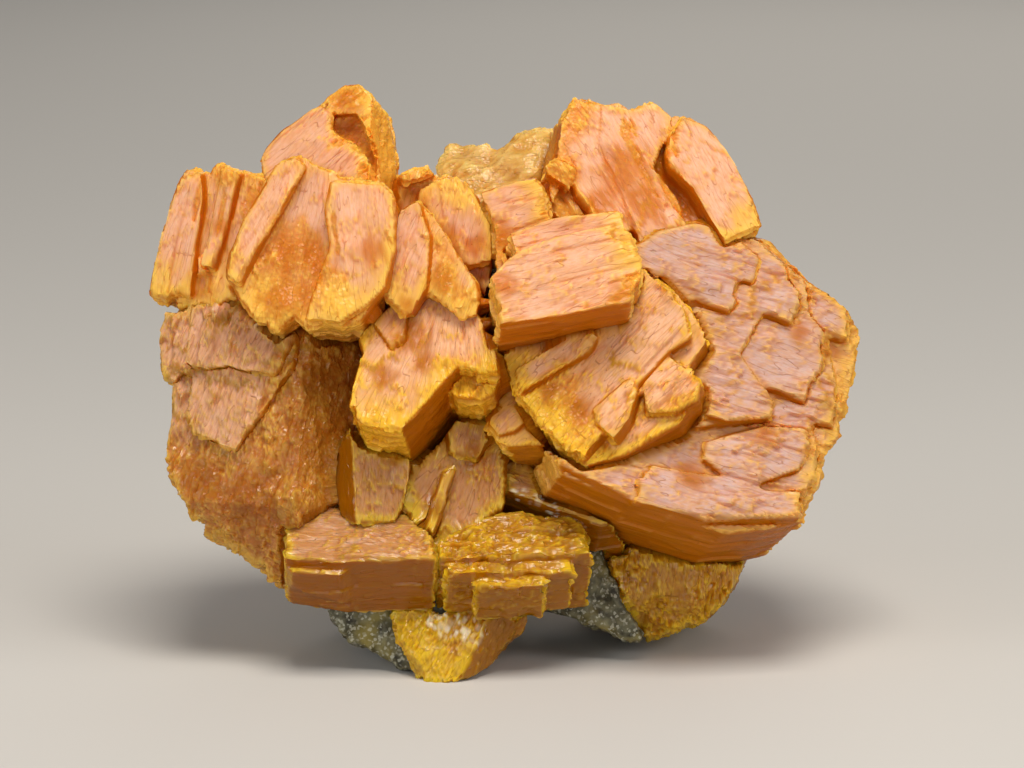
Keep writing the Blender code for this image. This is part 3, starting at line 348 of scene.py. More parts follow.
def hashed(seed, *keys):
    """A steady random number from 0 to 1 for each set of whole numbers."""
    mixed = np.full(keys[0].shape, seed * 7919 + 17, dtype=np.uint32)
    for key in keys:
        mixed = (mixed ^ key.astype(np.int64).astype(np.uint32)) * np.uint32(2654435761)
        mixed ^= mixed >> np.uint32(15)
    mixed *= np.uint32(2246822519)
    mixed ^= mixed >> np.uint32(13)
    return mixed.astype(np.float64) / 4294967296.0


def waves(seed, *places):
    """Smooth noise from -1 to 1, with places given in cells."""
    floors = [np.floor(place) for place in places]
    eases = [(p - f) ** 2 * (3 - 2 * (p - f)) for p, f in zip(places, floors)]
    total = 0.0
    for corner in itertools.product((0, 1), repeat=len(places)):
        weight = 1.0
        for side, ease in zip(corner, eases):
            weight = weight * (ease if side else 1 - ease)
        total = total + weight * hashed(seed, *[f + side for f, side in zip(floors, corner)])
    return total * 2 - 1


def ramp(value, low, high):
    """0 below low, 1 above high and a smooth rise between."""
    share = np.clip((value - low) / (high - low), 0, 1)
    return share * share * (3 - 2 * share)


# Where the specimen is solid, for its crevices and edges


def solid_grid(tree, low, high):
    """A grid of cells that are 1 inside any piece, read along lines from front to back."""
    counts = [int(math.ceil((high[k] - low[k]) / CELL)) + 1 for k in range(3)]
    grid = np.zeros(counts, dtype=np.float32)
    reach = high[1] - low[1] + 2
    for i in range(counts[0]):
        for j in range(counts[2]):
            start = Vector((low[0] + (i + 0.5) * CELL, low[1] - 1, low[2] + (j + 0.5) * CELL))
            inside, place = False, start.copy()
            left = reach
            while left > 0:
                hit = tree.ray_cast(place, Vector((0, 1, 0)), left)[0]
                if hit is None:
                    break
                if inside:
                    first = int(round((entered - low[1]) / CELL))
                    last = int(round((hit.y - low[1]) / CELL))
                    grid[i, first:last, j] = 1
                inside = not inside
                entered = hit.y
                place = hit + Vector((0, 0.001, 0))
                left = reach - (place.y - start.y)
    return grid


def blurred(grid, width):
    """The grid smoothed over about width mm."""
    radius = max(1, int(round(width / CELL)))
    offsets = np.arange(-2 * radius, 2 * radius + 1)
    kernel = np.exp(-0.5 * (offsets / radius) ** 2)
    kernel /= kernel.sum()
    out = grid
    for axis in range(3):
        pad = [(0, 0)] * 3
        pad[axis] = (2 * radius, 2 * radius)
        wide = np.pad(out, pad)
        out = sum(k * wide.take(range(i, i + out.shape[axis]), axis=axis) for i, k in enumerate(kernel))
    return out


def sampled(grid, low, places):
    """The grid's value at each place, mixed from the eight cells around it."""
    spot = (places - np.array(low)) / CELL - 0.5
    floors = np.floor(spot).astype(int)
    part = spot - floors
    total = 0.0
    for corner in itertools.product((0, 1), repeat=3):
        index = [np.clip(floors[:, k] + corner[k], 0, grid.shape[k] - 1) for k in range(3)]
        weight = np.prod([part[:, k] if corner[k] else 1 - part[:, k] for k in range(3)], axis=0)
        total = total + weight * grid[tuple(index)]
    return total


# A crystal's own frame: along its fibres, across them, and out of its face


def own_frame(seat, yaw, pitch, grain):
    """Turns the frame of the display face into the crystal's own, in mm."""
    yaw, pitch, grain = (math.radians(angle) for angle in (yaw, pitch, grain))
    out = Vector((math.sin(yaw) * math.cos(pitch), -math.cos(yaw) * math.cos(pitch), math.sin(pitch)))
    flat = Vector((math.cos(grain), 0, math.sin(grain)))
    flat.y = -(out.x * flat.x + out.z * flat.z) / out.y
    along = flat.normalized()
    across = out.cross(along)
    turn = Matrix((along, across, out)).to_4x4()
    return turn @ Matrix.Translation(-Vector(seat))


def new_object(name, data):
    made = bpy.data.objects.new(name, data)
    bpy.context.scene.collection.objects.link(made)
    return made


def merged_copy(name):
    """A bmesh of a node's mesh with its loose triangles joined."""
    bm = bmesh.new()
    bm.from_mesh(bpy.data.objects[name].data)
    bmesh.ops.remove_doubles(bm, verts=bm.verts, dist=0.002 * MM)
    return bm


def skinned(name, bm, voxel, stretch):
    """The closed shape with an even skin of small squares, as a mesh."""
    bmesh.ops.scale(bm, vec=(1 / stretch, 1, 1), verts=bm.verts)
    mesh = bpy.data.meshes.new(name)
    bm.to_mesh(mesh)
    bm.free()
    holder = new_object("holder", mesh)
    modifier = holder.modifiers.new("skin", "REMESH")
    modifier.mode = "VOXEL"
    modifier.voxel_size = voxel
    graph = bpy.context.evaluated_depsgraph_get()
    skin = bpy.data.meshes.new_from_object(holder.evaluated_get(graph))
    bpy.data.objects.remove(holder)
    bpy.data.meshes.remove(mesh)
    places = vertex_places(skin)
    places[:, 0] *= stretch
    set_places(skin, places)
    return skin


def vertex_places(mesh):
    places = np.empty(len(mesh.vertices) * 3)
    mesh.vertices.foreach_get("co", places)
    return places.reshape(-1, 3)


def set_places(mesh, places):
    mesh.vertices.foreach_set("co", places.ravel())
    mesh.update()


def vertex_normals(mesh):
    normals = np.empty(len(mesh.vertices) * 3)
    mesh.vertex_normals.foreach_get("vector", normals)
    return normals.reshape(-1, 3)


def moved(places, matrix):
    turn = np.array(matrix.to_3x3())
    return places @ turn.T + np.array(matrix.translation)


def turned(normals, matrix):
    turn = np.array(matrix.to_3x3())
    out = normals @ turn.T
    return out / np.linalg.norm(out, axis=1)[:, None]


# The relief of a crystal


def inside_distance(x, z, outline):
    """Distance in mm from each place to an outline, positive inside it."""
    inside = np.zeros(x.shape, dtype=bool)
    nearest = np.full(x.shape, 1e6)
    for (x0, z0), (x1, z1) in zip(outline, outline[1:] + outline[:1]):
        run, rise = x1 - x0, z1 - z0
        if rise:
            inside ^= ((z0 > z) != (z1 > z)) & (x < x0 + (z - z0) * run / rise)
        share = np.clip(((x - x0) * run + (z - z0) * rise) / (run * run + rise * rise), 0, 1)
        nearest = np.minimum(nearest, (x - x0 - share * run) ** 2 + (z - z0 - share * rise) ** 2)
    return np.where(inside, 1.0, -1.0) * np.sqrt(nearest)


def flake_relief(name, shown, grain, ends, seed, across):
    """How far the plates on a crystal's face lift each place, and how near it is to their edges and feet."""
    slope = (math.cos(math.radians(grain)), math.sin(math.radians(grain)))
    coarse = np.floor(across / 0.9 + 0.6 * waves(seed, across / 2.4))
    fine = np.floor(across / 0.28 + 0.5 * waves(seed + 1, across / 0.8))
    shift = 1.2 * (hashed(seed + 2, coarse) - 0.5) + 0.6 * (hashed(seed + 3, fine) - 0.5)
    x, z = shown[:, 0] + shift * slope[0], shown[:, 2] + shift * slope[1]
    way = (x * slope[0] + z * slope[1]) * ends
    lift, rim, foot, pit = (np.zeros(len(x)) for _ in range(4))
    for height, outline in FLAKES.get(name, ()):
        gap = inside_distance(x, z, outline)
        ahead = inside_distance(x + 0.1 * ends * slope[0], z + 0.1 * ends * slope[1], outline)
        blunt = ramp((gap - ahead) / 0.1 * (1.0 if height > 0 else -1.0), 0.25, 0.7)
        rise = 1.0
        if height > 0:
            ways = [(px * slope[0] + pz * slope[1]) * ends for px, pz in outline]
            rise = ramp(way, min(ways), min(ways) + 0.5 * (max(ways) - min(ways)))
        softness = 1.3 if height == SOFT_BOWL else 0.07
        outer = np.maximum(softness, BEVEL * blunt if height > 0 else softness)
        lift += PLATE_SHARE * height * rise * ramp(gap, -outer, softness)
        strength = rise * min(1.0, abs(height) / 0.3) * (0.0 if height == SOFT_BOWL else 1.0)
        side = 1.0 if height > 0 else -1.0
        reach = BEVEL * blunt + 0.05
        ending = np.where(gap * side > -reach, np.exp(-np.maximum(gap * side, 0) / 0.3), 0)
        rim = np.maximum(rim, strength * (0.1 + 0.9 * blunt) * ending)
        below = np.minimum(gap * side + reach + 0.05, 0)
        foot = np.maximum(foot, strength * np.exp(-np.square(below / 0.13)) * (gap * side < -0.02))
        if height < 0:
            pit = np.maximum(pit, ramp(gap, -0.1 - softness, 0.1 + softness))
    return lift, rim, foot, pit


def small_flakes(along, across, seed, count):
    """Little pointed plates strewn over a face, each with a blunt end: their lift, rims and feet."""
    chance = np.random.default_rng(seed)
    fine = np.floor(across / 0.3 + 0.4 * waves(seed + 1, across / 0.9))
    jag = 1.1 * (hashed(seed, fine) - 0.5)
    lift, rim, foot = np.zeros(len(along)), np.zeros(len(along)), np.zeros(len(along))
    low, high = np.percentile(along, (1, 99)), np.percentile(across, (1, 99))
    for _ in range(count):
        tip = chance.uniform(*low)
        middle = chance.uniform(*high)
        length = chance.uniform(1.2, 5.0)
        width = chance.uniform(0.25, 1.1)
        height = chance.uniform(0.06, 0.22)
        skew = chance.uniform(-0.15, 0.15)
        fades = chance.choice((-1, 1))
        back = tip - along + jag
        aside = (across - middle - skew * (along - tip)) * fades
        near = np.flatnonzero((back > -0.6) & (back < length) & (np.abs(aside) < width + 0.5))
        back, aside = back[near], aside[near]
        rise = np.clip(1 - back / length, 0, 1)
        shape = ramp(back, -0.18, 0.03) * ramp(aside + width, 0, 0.5) * ramp(width - aside, -0.03, 0.05)
        lift[near] += height * rise * shape
        share = rise * height / 0.22
        ending = np.where(back > -0.15, np.exp(-np.maximum(back, 0) / 0.25), 0)
        ending = ending * ramp(width - np.abs(aside), 0, 0.1)
        rim[near] = np.maximum(rim[near], share * ending)
        below = np.exp(-np.square((back + 0.24) / 0.08)) * (np.abs(aside) < width)
        foot[near] = np.maximum(foot[near], share * below)
    return lift, rim, foot


def ledges(along, across, seed, length, slant, width):
    """Long thin ledges nearly along the fibres: each place's share of its ledge, and the ledge's strength."""
    fine = np.floor(across / 0.32 + 0.5 * waves(seed, across / 0.7))
    wander = slant * waves(seed + 1, across / width, along / (3 * length))
    wander = wander + 0.3 * slant * waves(seed + 2, across / (0.35 * width), along / length)
    wander = wander + 0.4 * slant * (hashed(seed + 3, fine) - 0.5)
    spot = (along + wander) / length
    number = np.floor(spot)
    strength = ramp(waves(seed + 4, number * 5.3, across / 2.5), -0.3, 0.6)
    return spot - number, strength


def spots(places, shown, uneven, full, gone):
    """1 near each spot, fading to 0 between these two shares of its radius."""
    strength = np.zeros(len(shown))
    for x, z, radius in places:
        far = np.hypot(shown[:, 0] - x, shown[:, 2] - z) / radius + uneven
        strength = np.maximum(strength, 1 - ramp(far, full, gone))
    return strength


def crystal_relief(name, places, normals, shown, seed, grain, ends, facts):
    """Moves the skin into plates, ledges, fibres and blunt ends. Gives the moved places and their marks."""
    along, across, out = (places[:, k].copy() for k in range(3))
    across_bent = across + 0.35 * waves(seed + 50, along / 6.0, across / 5.0)
    if name in FANS:
        across_bent = across_bent / np.clip(1 - along / FANS[name], 0.4, 3)
    front = ramp(normals[:, 2], *facts["flat"])
    face = ramp(np.abs(normals[:, 2]), *facts["flat"])
    end = ramp(np.abs(normals[:, 0]), 0.5, 0.85)
    side = ramp(np.abs(normals[:, 1]), 0.5, 0.85)

    flake, rim, foot, pit = flake_relief(name, shown, grain, ends, seed + 60, across_bent)
    raw = np.full(len(along), float(facts["raw"]))
    for outline in RAW.get(name, ()):
        edge = inside_distance(shown[:, 0], shown[:, 2], outline)
        edge = edge + 1.2 * waves(seed + 30, along / 2.0, across / 1.2)
        raw = np.maximum(raw, ramp(edge, -1.6, 1.6))
    raw = np.clip(raw + 0.3 * waves(seed + 31, along / 3.0, across / 2.0), 0, 1)
    raw = np.maximum(raw, pit * front)

    bins = np.floor((across_bent - across_bent.min()) / 0.6).astype(int)
    last = np.full(bins.max() + 1, along.min() * ends if ends > 0 else -along.max())
    np.maximum.at(last, bins[front > 0.5], (along * ends)[front > 0.5])
    tail = along * ends - np.interp(across_bent, across_bent.min() + 0.6 * (np.arange(len(last)) + 0.5), last)
    clear = TIPS.get(name, CLEAR)
    tip = ramp(tail + 0.35 * clear * waves(seed + 45, along / 2.2, across_bent / 1.1), -clear, -0.1 * clear)

    area = np.ptp(along) * np.ptp(across)
    count = int(area * facts["flakes"])
    small, small_rim, small_foot = small_flakes(along * ends, across_bent, seed + 70, count)
    part, strength = ledges(along * ends, across_bent, seed, 6.5, 6.0, 1.7)
    part2, strength2 = ledges(along * ends, across_bent + 9, seed + 20, 2.8, 3.2, 0.8)
    ledge = facts["drop"] * (strength * (part - 0.5) + 0.5 * strength2 * (part2 - 0.5))
    fibre = 0.012 * waves(seed + 7, along / 2.5, across_bent / STRAND)
    block_along = np.floor(along / 0.6 + 0.8 * waves(seed + 32, along / 1.6, across / 0.8))
    block_across = np.floor(across_bent / 0.32 + 0.5 * waves(seed + 33, along / 1.1, across / 1.3))
    blocks = (hashed(seed + 34, block_along, block_across) - 0.5) * 0.13 * ramp(raw, 0.15, 0.9)
    blocks = blocks + facts["heave"] * raw * waves(seed + 35, along / 2.2, across / 1.6)
    scale_across = np.floor(across_bent / 0.45 + 0.6 * waves(seed + 36, along / 2.5, across / 1.1))
    scale_along = along / 2.4 + 4 * hashed(seed + 37, scale_across) + 0.3 * waves(seed + 38, across / 0.3)
    busy = ramp(waves(seed + 39, along / 4, across / 3), -0.5, 0.4)
    blocks = blocks + 0.1 * busy * (hashed(seed + 40, np.floor(scale_along), scale_across) - 0.5)
    swell = 0.07 * waves(seed + 9, along / 3.5, across / 3.5)

    sway = 0.7 * waves(seed + 10, out / (2 * LAYER)) + 0.3 * waves(seed + 11, along / 4, across / 4)
    layer = np.floor(out / LAYER + sway)
    strip = np.floor(across_bent / 1.2 + 3 * hashed(seed + 26, layer) + 0.8 * waves(seed + 12, across / 3.0))
    fine = np.floor(across_bent / 0.4 + 5 * hashed(seed + 27, layer) + 0.5 * waves(seed + 13, across / 1.2))
    stub = 0.5 * hashed(seed + 14, fine, layer) + 0.8 * hashed(seed + 15, strip, layer)
    stub = facts["rough"] * (stub + 0.9 * hashed(seed + 28, layer) - 1.1)
    thick = np.floor(out / SHEET + 0.5 * waves(seed + 18, out / 2.1) + 0.15 * waves(seed + 19, along / 5))
    block = np.floor(along / 4.2 + 3.0 * hashed(seed + 21, thick) + 0.3 * waves(seed + 22, along / 3))
    wall = 0.1 * (hashed(seed + 23, thick) - 0.5) + 0.1 * (hashed(seed + 24, thick, block) - 0.5)
    wall = facts["steps"] * wall + 0.15 * waves(seed + 25, along / 3.0, out / 1.6)
    wall = wall + 0.03 * waves(seed + 17, layer * 3.7, along / 2.5)

    three = (along / 1.6, across / 1.2, out / 1.3)
    lumps = 0.5 * waves(seed + 41, *three) + 0.3 * waves(seed + 42, *(2.4 * place for place in three))
    cell = [np.floor(1.9 * place + 0.5 * waves(seed + 43, *three)) for place in three]
    lumps = facts["lumps"] * raw * (lumps + 0.7 * (hashed(seed + 44, *cell) - 0.5))

    shifted = places + normals * lumps[:, None]
    shifted[:, 2] += face * np.sign(normals[:, 2]) * (ledge + fibre + swell + small + blocks) + front * flake
    shifted[:, 0] += end * (1 - face) * np.sign(normals[:, 0]) * stub
    shifted[:, 1] += side * (1 - face) * np.sign(normals[:, 1]) * wall
    # Rims at the ends of plates and ledges are later painted yellow as a highlight, and their feet painted as
    # shadow.
    ledge_rim = 0.35 * strength * face * ramp(part, 0.92, 0.99)
    ledge_foot = 0.35 * strength * face * (1 - ramp(part, 0.01, 0.03))
    rim = np.maximum.reduce((rim * front, ledge_rim, small_rim * face))
    foot = np.maximum.reduce((foot * front, ledge_foot, small_foot * face))
    known = {"face": face, "raw": raw, "end": end * (1 - face), "rim": rim, "foot": foot, "pit": pit * front}
    known["tip"] = tip * front
    known["wall"] = facts["wall"] * (1 - face) * (1 - end)
    # Painted glow: the clear spots turn deep orange and lose most of their peach skin.
    uneven = 0.35 * waves(seed + 46, along / 1.6, across_bent / 0.5)
    known["glow"] = front * spots(PAINTED_GLOWS.get(name, ()), shown, uneven, 0.2, 1.25)
    # Painted glints: white highlights on scattered small facets in these spots.
    uneven = 0.3 * waves(seed + 47, along / 0.8, across_bent / 0.6)
    painted_glint = spots(PAINTED_GLINTS.get(name, ()), shown, uneven, 0.75, 1.0)
    facet_chance = hashed(seed + 48, np.floor(along / 0.55), np.floor(across_bent / 0.35), np.floor(out / 0.6))
    known["painted_glint"] = painted_glint * ramp(facet_chance, 0.45, 0.9)
    return shifted, known, np.stack((along, across_bent, out), axis=1)


def rock_relief(places, normals, seed):
    """Moves the rock's skin into grains and small pits."""
    x, y, z = (places[:, k] for k in range(3))
    lumps = 0.45 * waves(seed, x / 2.2, y / 2.2, z / 2.2) + 0.25 * waves(seed + 1, x / 0.9, y / 0.9, z / 0.9)
    grain = hashed(seed + 2, np.floor(x / 0.6 + y / 1.7), np.floor(y / 0.6), np.floor(z / 0.6 + x / 1.9))
    shifted = places + normals * (lumps + 0.3 * (grain - 0.5))[:, None]
    marks = ("face", "raw", "end", "rim", "foot", "pit", "tip", "wall", "glow", "painted_glint")
    known = {mark: np.full(len(x), float(mark == "raw")) for mark in marks}
    return shifted, known, places


# What a look does to the relief: the depth of its ledges in mm, how rough its blunt ends are in mm, how raw
# its faces are from 0 to 1, its little plates for each square mm, how far its raw areas heave and are lumpy
# in mm, how squarely a place must face outwards, as a cosine, to count as flat, how deep the colour of its
# side walls is from 0 to 1, and how many times deeper their steps are.
FACTS = {
    look: dict(zip(("drop", "rough", "raw", "flakes", "heave", "lumps", "flat", "wall", "steps"), values))
    for look, values in {
        "peach": (0.18, 0.45, 0.0, 0.4, 0.2, 0.15, (0.7, 0.9), 0.55, 1.6),
        "dusty_sheen": (0.18, 0.45, 0.0, 0.8, 0.2, 0.15, (0.7, 0.9), 0.5, 2.4),
        "amber": (0.18, 0.5, 0.0, 0.4, 0.25, 0.2, (0.7, 0.9), 0.6, 1.0),
        "honey": (0.16, 0.45, 0.2, 0.6, 0.25, 0.3, (0.8, 0.94), 0.5, 2.6),
        "brown": (0.2, 0.45, 0.0, 1.2, 0.3, 0.4, (0.45, 0.7), 0.3, 1.0),
        "golden": (0.14, 0.5, 0.7, 0.6, 0.3, 0.6, (0.6, 0.8), 0.35, 2.2),
        "cream": (0.12, 0.5, 0.9, 0.2, 0.3, 0.5, (0.6, 0.85), 0.1, 1.0),
    }.items()
}


def attribute(mesh, name, values, kind="FLOAT"):
    field = {"FLOAT": "value", "FLOAT_VECTOR": "vector"}[kind]
    layer = mesh.attributes.new(name, kind, "POINT")
    layer.data.foreach_set(field, np.ascontiguousarray(values, dtype=np.float32).ravel())


def surface_mean(mesh, values, rounds):
    """The values, each mixed with its neighbours' on the surface this many times."""
    ends = np.empty(len(mesh.edges) * 2, dtype=np.int64)
    mesh.edges.foreach_get("vertices", ends)
    first, second = ends.reshape(-1, 2).T
    count = np.bincount(ends, minlength=len(values)).astype(float)
    mean = values.reshape(len(values), -1).T
    for _ in range(rounds):
        total = [
            np.bincount(first, weights=row[second], minlength=len(row))
            + np.bincount(second, weights=row[first], minlength=len(row))
            for row in mean
        ]
        mean = 0.5 * mean + 0.5 * np.array(total) / count
    return mean.T.reshape(values.shape)


def curvature(mesh, places, normals, rounds):
    """Positive on edges that stand out and negative in grooves, in mm."""
    return ((places - surface_mean(mesh, places, rounds)) * normals).sum(axis=1)


def surface_marks(known, inner, sharp, hollow, bulk, seed, fibre):
    """How much peach skin with its painted sheen, how much yellow with its painted glow and highlight, and
    how much deep orange with its painted shade and glow each place has, from 0 to 1.
    """
    face, raw, end = known["face"], known["raw"], known["end"]
    mottle = waves(seed + 80, *(fibre[:, k] / 3.0 for k in range(3)))
    mottle = mottle + 0.5 * waves(seed + 81, *(fibre[:, k] / 1.2 for k in range(3)))
    inside = ramp(inner + 0.06 * mottle, 0.52, 0.8)
    # The peach skin on flat faces away from their edges: partly their dull etched coat, partly a painted
    # sheen of light.
    bloom_and_sheen = face * (1 - 0.8 * ramp(raw, 0.2, 0.9)) * (0.45 + 0.55 * inside)
    bloom_and_sheen = bloom_and_sheen * (1 - 0.3 * ramp(mottle, -0.3, 1.2))
    bloom_and_sheen = bloom_and_sheen * (1 - 0.8 * known["rim"]) * (1 - 0.85 * known["tip"]) * (1 - 0.65 * known["glow"])
    # Yellow: painted glow of light through thin parts and a painted highlight, near face borders, at plate
    # rims, tips, blunt ends and convex edges, with some raw grains' own yellow tone.
    lone = hashed(seed + 82, *np.floor(fibre / (0.8, 0.5, 0.5)).T)
    gold = face * (1 - inside) * (0.6 - 0.4 * raw) + 0.8 * known["rim"] + 0.3 * raw * face * lone
    gold = gold + 0.75 * known["tip"]
    gold = gold + 0.7 * end + 0.4 * ramp(sharp, 0.2, 0.9) + 0.3 * known["pit"]
    gold = gold * (1 - 0.7 * ramp(bulk, 0.5, 0.75)) * (1 - 0.5 * known["glow"])
    # Deep orange: painted shade in crevices, grooves, pits and at the feet of plates and ledges, painted glow
    # in clear spots, and a deeper orange on the side walls.
    deep = np.maximum.reduce((
        0.95 * ramp(hollow, 0.42, 0.85), 0.35 * ramp(-sharp, 0.25, 1.0), known["wall"],
        0.5 * known["foot"], 0.4 * known["pit"], 0.5 * known["glow"],
    ))
    return np.clip(bloom_and_sheen, 0, 1), np.clip(gold, 0, 1), np.clip(deep, 0, 1)


def close_seams(shown, aim, near, tree):
    """Moves places that face an earlier piece across a seam onto it, so that the crystals grow together."""
    closed = shown.copy()
    for i in np.flatnonzero(near):
        place = Vector(shown[i])
        hit, _, _, gap = tree.find_nearest(place, SEAM)
        if hit is None or gap < 1e-4:
            continue
        way = (hit - place) / gap
        if way.dot(Vector(aim[i])) > 0.25:
            closed[i] = hit + way * BITE
    return closed


def make_piece(name, number, low, soft, earlier):
    """The visible crystal or rock that stands for a node."""
    seat, yaw, pitch, grain, ends, look = CRYSTALS[name]
    own = own_frame(seat, yaw, pitch, grain)
    to_display = own.inverted()
    bm = merged_copy(name)
    bmesh.ops.transform(bm, matrix=own @ STAND.inverted(), verts=bm.verts)
    behind = name.startswith("back") or look == "rock"
    voxel = VOXEL["book" if "book" in name else "back" if behind else "front"]
    mesh = skinned(f"{name}_skin", bm, voxel, STRETCH)
    places = vertex_places(mesh)
    normals = vertex_normals(mesh)
    seed = 100 * number
    shown = moved(places, to_display)
    aim = turned(normals, to_display)
    shut = ramp(sampled(soft[0], low, shown + aim * 1.1), 0.35, 0.75)
    if earlier:
        shown = close_seams(shown, aim, sampled(soft[0], low, shown) > CLOSE, earlier)
        places = moved(shown, own)
    if look == "rock":
        shifted, known, fibre = rock_relief(places, normals, seed)
    else:
        shifted, known, fibre = crystal_relief(name, places, normals, shown, seed, grain, ends, FACTS[look])
    shifted = places + (shifted - places) * (1 - 0.85 * shut)[:, None]
    set_places(mesh, shifted)
    fresh = vertex_normals(mesh)
    shown = moved(shifted, to_display)
    aim = turned(fresh, to_display)
    # Curvature and enclosure: grooves and enclosed crevices are painted deep orange as shade, convex edges
    # yellow as a highlight.
    sharp = np.clip(curvature(mesh, shifted, fresh, 2) / CREASE, -1, 1)
    inner = surface_mean(mesh, known["face"], int(SPREAD / voxel ** 2))
    hollow = 0.5 * sampled(soft[0], low, shown + aim * 1.2) + 0.5 * sampled(soft[1], low, shown + aim * 3.0)
    bulk = sampled(soft[1], low, shown)
    bloom_and_sheen, gold, deep = surface_marks(known, inner, sharp, hollow, bulk, seed, fibre)
    world = moved(shown, STAND)
    world[:, 2] = np.maximum(world[:, 2], 0.0)
    set_places(mesh, world)
    attribute(mesh, "fibre", (fibre + np.array((number * 40.0, 0, 0))) * MM, "FLOAT_VECTOR")
    marks = {"bloom_and_sheen": bloom_and_sheen, "gold": gold, "deep": deep, "raw": known["raw"], "painted_glint": known["painted_glint"]}
    for key, values in marks.items():
        attribute(mesh, key, values)
    mesh.shade_smooth()
    mesh.set_sharp_from_angle(angle=SHARP)
    return new_object(name.replace("_crystal", "") + "_grown", mesh), look


# Materials


def linear(code):
    """An sRGB hex colour as linear red, green, blue and alpha."""
    values = [int(code[i:i + 2], 16) / 255 for i in (0, 2, 4)]
    return (*[v / 12.92 if v <= 0.04045 else ((v + 0.055) / 1.055) ** 2.4 for v in values], 1.0)


def fill(tree, made, inputs):
    """Fills the inputs of a node with values, or links them to other nodes."""
    for key, value in inputs.items():
        if isinstance(value, bpy.types.NodeSocket):
            tree.links.new(value, made.inputs[key])
        else:
            made.inputs[key].default_value = value


def node(tree, kind, inputs, out=0, **settings):
    """Adds a node with its settings and inputs, and gives one of its outputs."""
    made = tree.nodes.new("ShaderNode" + kind)
    for key, value in settings.items():
        setattr(made, key, value)
    fill(tree, made, inputs)
    return made.outputs[out]


def new_material(name):
    material = bpy.data.materials.new(name)
    material.use_nodes = True
    tree = material.node_tree
    shader = tree.nodes["Principled BSDF"]
    return material, tree, shader


def streaks(tree, fibre, along, across, detail):
    """Noise drawn out along the fibres, with its cells this many mm long and wide."""
    scale = (1 / (along * MM), 1 / (across * MM), 1 / (across * MM))
    place = node(tree, "Mapping", {"Vector": fibre, "Scale": scale})
    return node(tree, "TexNoise", {"Vector": place, "Scale": 1.0, "Detail": detail}, "Fac")


def coated(tree, base, coats):
    """A base colour under coats, each given as how much it covers, from 0 to 1, and its colour."""
    color = linear(base)
    for share, tint in coats:
        color = node(tree, "Mix", {0: share, 6: color, 7: linear(tint)}, 2, data_type="RGBA")
    return color


def crystal_material(name, bloom_and_sheen, glow, edge, deep, cover, gloss):
    """Wulfenite, grown and broken, not polished: resinous, lit from within, with a dull, etched peach skin on
    flat faces whose colour also holds a painted sheen of light.

    The fibres of the real one are about 0.2 mm wide. The finer striae on them are too fine to show, so they
    are drawn as wide as the fibres. Grains are 0.4 mm, specks of the peach skin with painted sheen 0.7 by 0.2
    mm, and painted shadow lines at small ledges run between patches of 3.2 by 0.5 mm. The mineral's own index
    is about 2.3, but its weathered, etched skin shines far less than that, so the index and the specular
    level are those of a dull resin, with the sheen painted into the peach colour.
    """
    material, tree, shader = new_material(name)
    fibre = node(tree, "Attribute", {}, "Vector", attribute_name="fibre")
    bloom_sheen_share, golden, deeper, raw, glint_share = (
        node(tree, "Attribute", {}, "Fac", attribute_name=key)
        for key in ("bloom_and_sheen", "gold", "deep", "raw", "painted_glint")
    )
    thread = streaks(tree, fibre, 1.8, 0.22, 1.0)
    cells = node(tree, "TexVoronoi", {"Vector": fibre, "Scale": 1 / (0.4 * MM)}, "Distance")
    spot = node(tree, "MapRange", {"Value": cells, 1: 0.15, 2: 0.6, 3: 0.13, 4: -0.13})
    coarse = node(tree, "MapRange", {"Value": raw, 1: 0.3, 3: 0.0, 4: 1.0})
    patchy = node(tree, "Math", {0: spot, 1: coarse}, operation="MULTIPLY")
    yellow = node(tree, "Math", {0: golden, 1: patchy}, operation="ADD", use_clamp=True)
    # Specks of the peach skin, whose colour holds a painted sheen.
    speck = streaks(tree, fibre, 0.7, 0.2, 2.0)
    faint = node(tree, "MapRange", {"Value": speck, 1: 0.36, 2: 0.58, 3: cover - 0.25, 4: cover})
    dusty_sheen = node(tree, "Math", {0: bloom_sheen_share, 1: faint}, operation="MULTIPLY")
    # Thin painted shadow lines along small ledges, where the bump steps down.
    split = streaks(tree, fibre, 3.2, 0.5, 0.0)
    nearness = node(tree, "Math", {0: split, 1: 0.5, 2: 0.012}, operation="COMPARE")
    ledge_shadow = node(tree, "Math", {0: nearness, 1: 0.4}, operation="MULTIPLY")
    deeper = node(tree, "Math", {0: deeper, 1: ledge_shadow}, operation="MAXIMUM")
    # Over the crystal's body colour: yellow, much of it painted glow and highlight at edges; the peach skin
    # with painted sheen; deep orange, much of it painted shade and glow; white painted glints.
    color = coated(tree, glow, ((yellow, edge), (dusty_sheen, bloom_and_sheen), (deeper, deep), (glint_share, GLINT_WHITE)))
    dull = node(tree, "MapRange", {"Value": dusty_sheen, 3: 0.32 - 0.25 * gloss, 4: 0.5})
    grains = node(tree, "Math", {0: cells, 1: coarse}, operation="MULTIPLY")
    step = node(tree, "MapRange", {"Value": split, 1: 0.485, 2: 0.5, 4: 0.9})
    height = node(tree, "Math", {0: thread, 1: 0.6, 2: grains}, operation="MULTIPLY_ADD")
    height = node(tree, "Math", {0: height, 1: step}, operation="ADD")
    bump = node(tree, "Bump", {"Height": height, "Strength": 0.9, "Distance": 0.1 * MM})
    shader.subsurface_method = "BURLEY"
    fill(tree, shader, {
        "Base Color": color, "Roughness": dull, "Normal": bump, "IOR": 1.5,
        "Specular IOR Level": 0.1 + 0.3 * gloss, "Subsurface Weight": 0.6,
        "Subsurface Radius": (1.0, 0.35, 0.03), "Subsurface Scale": 1.2 * MM,
    })
    return material


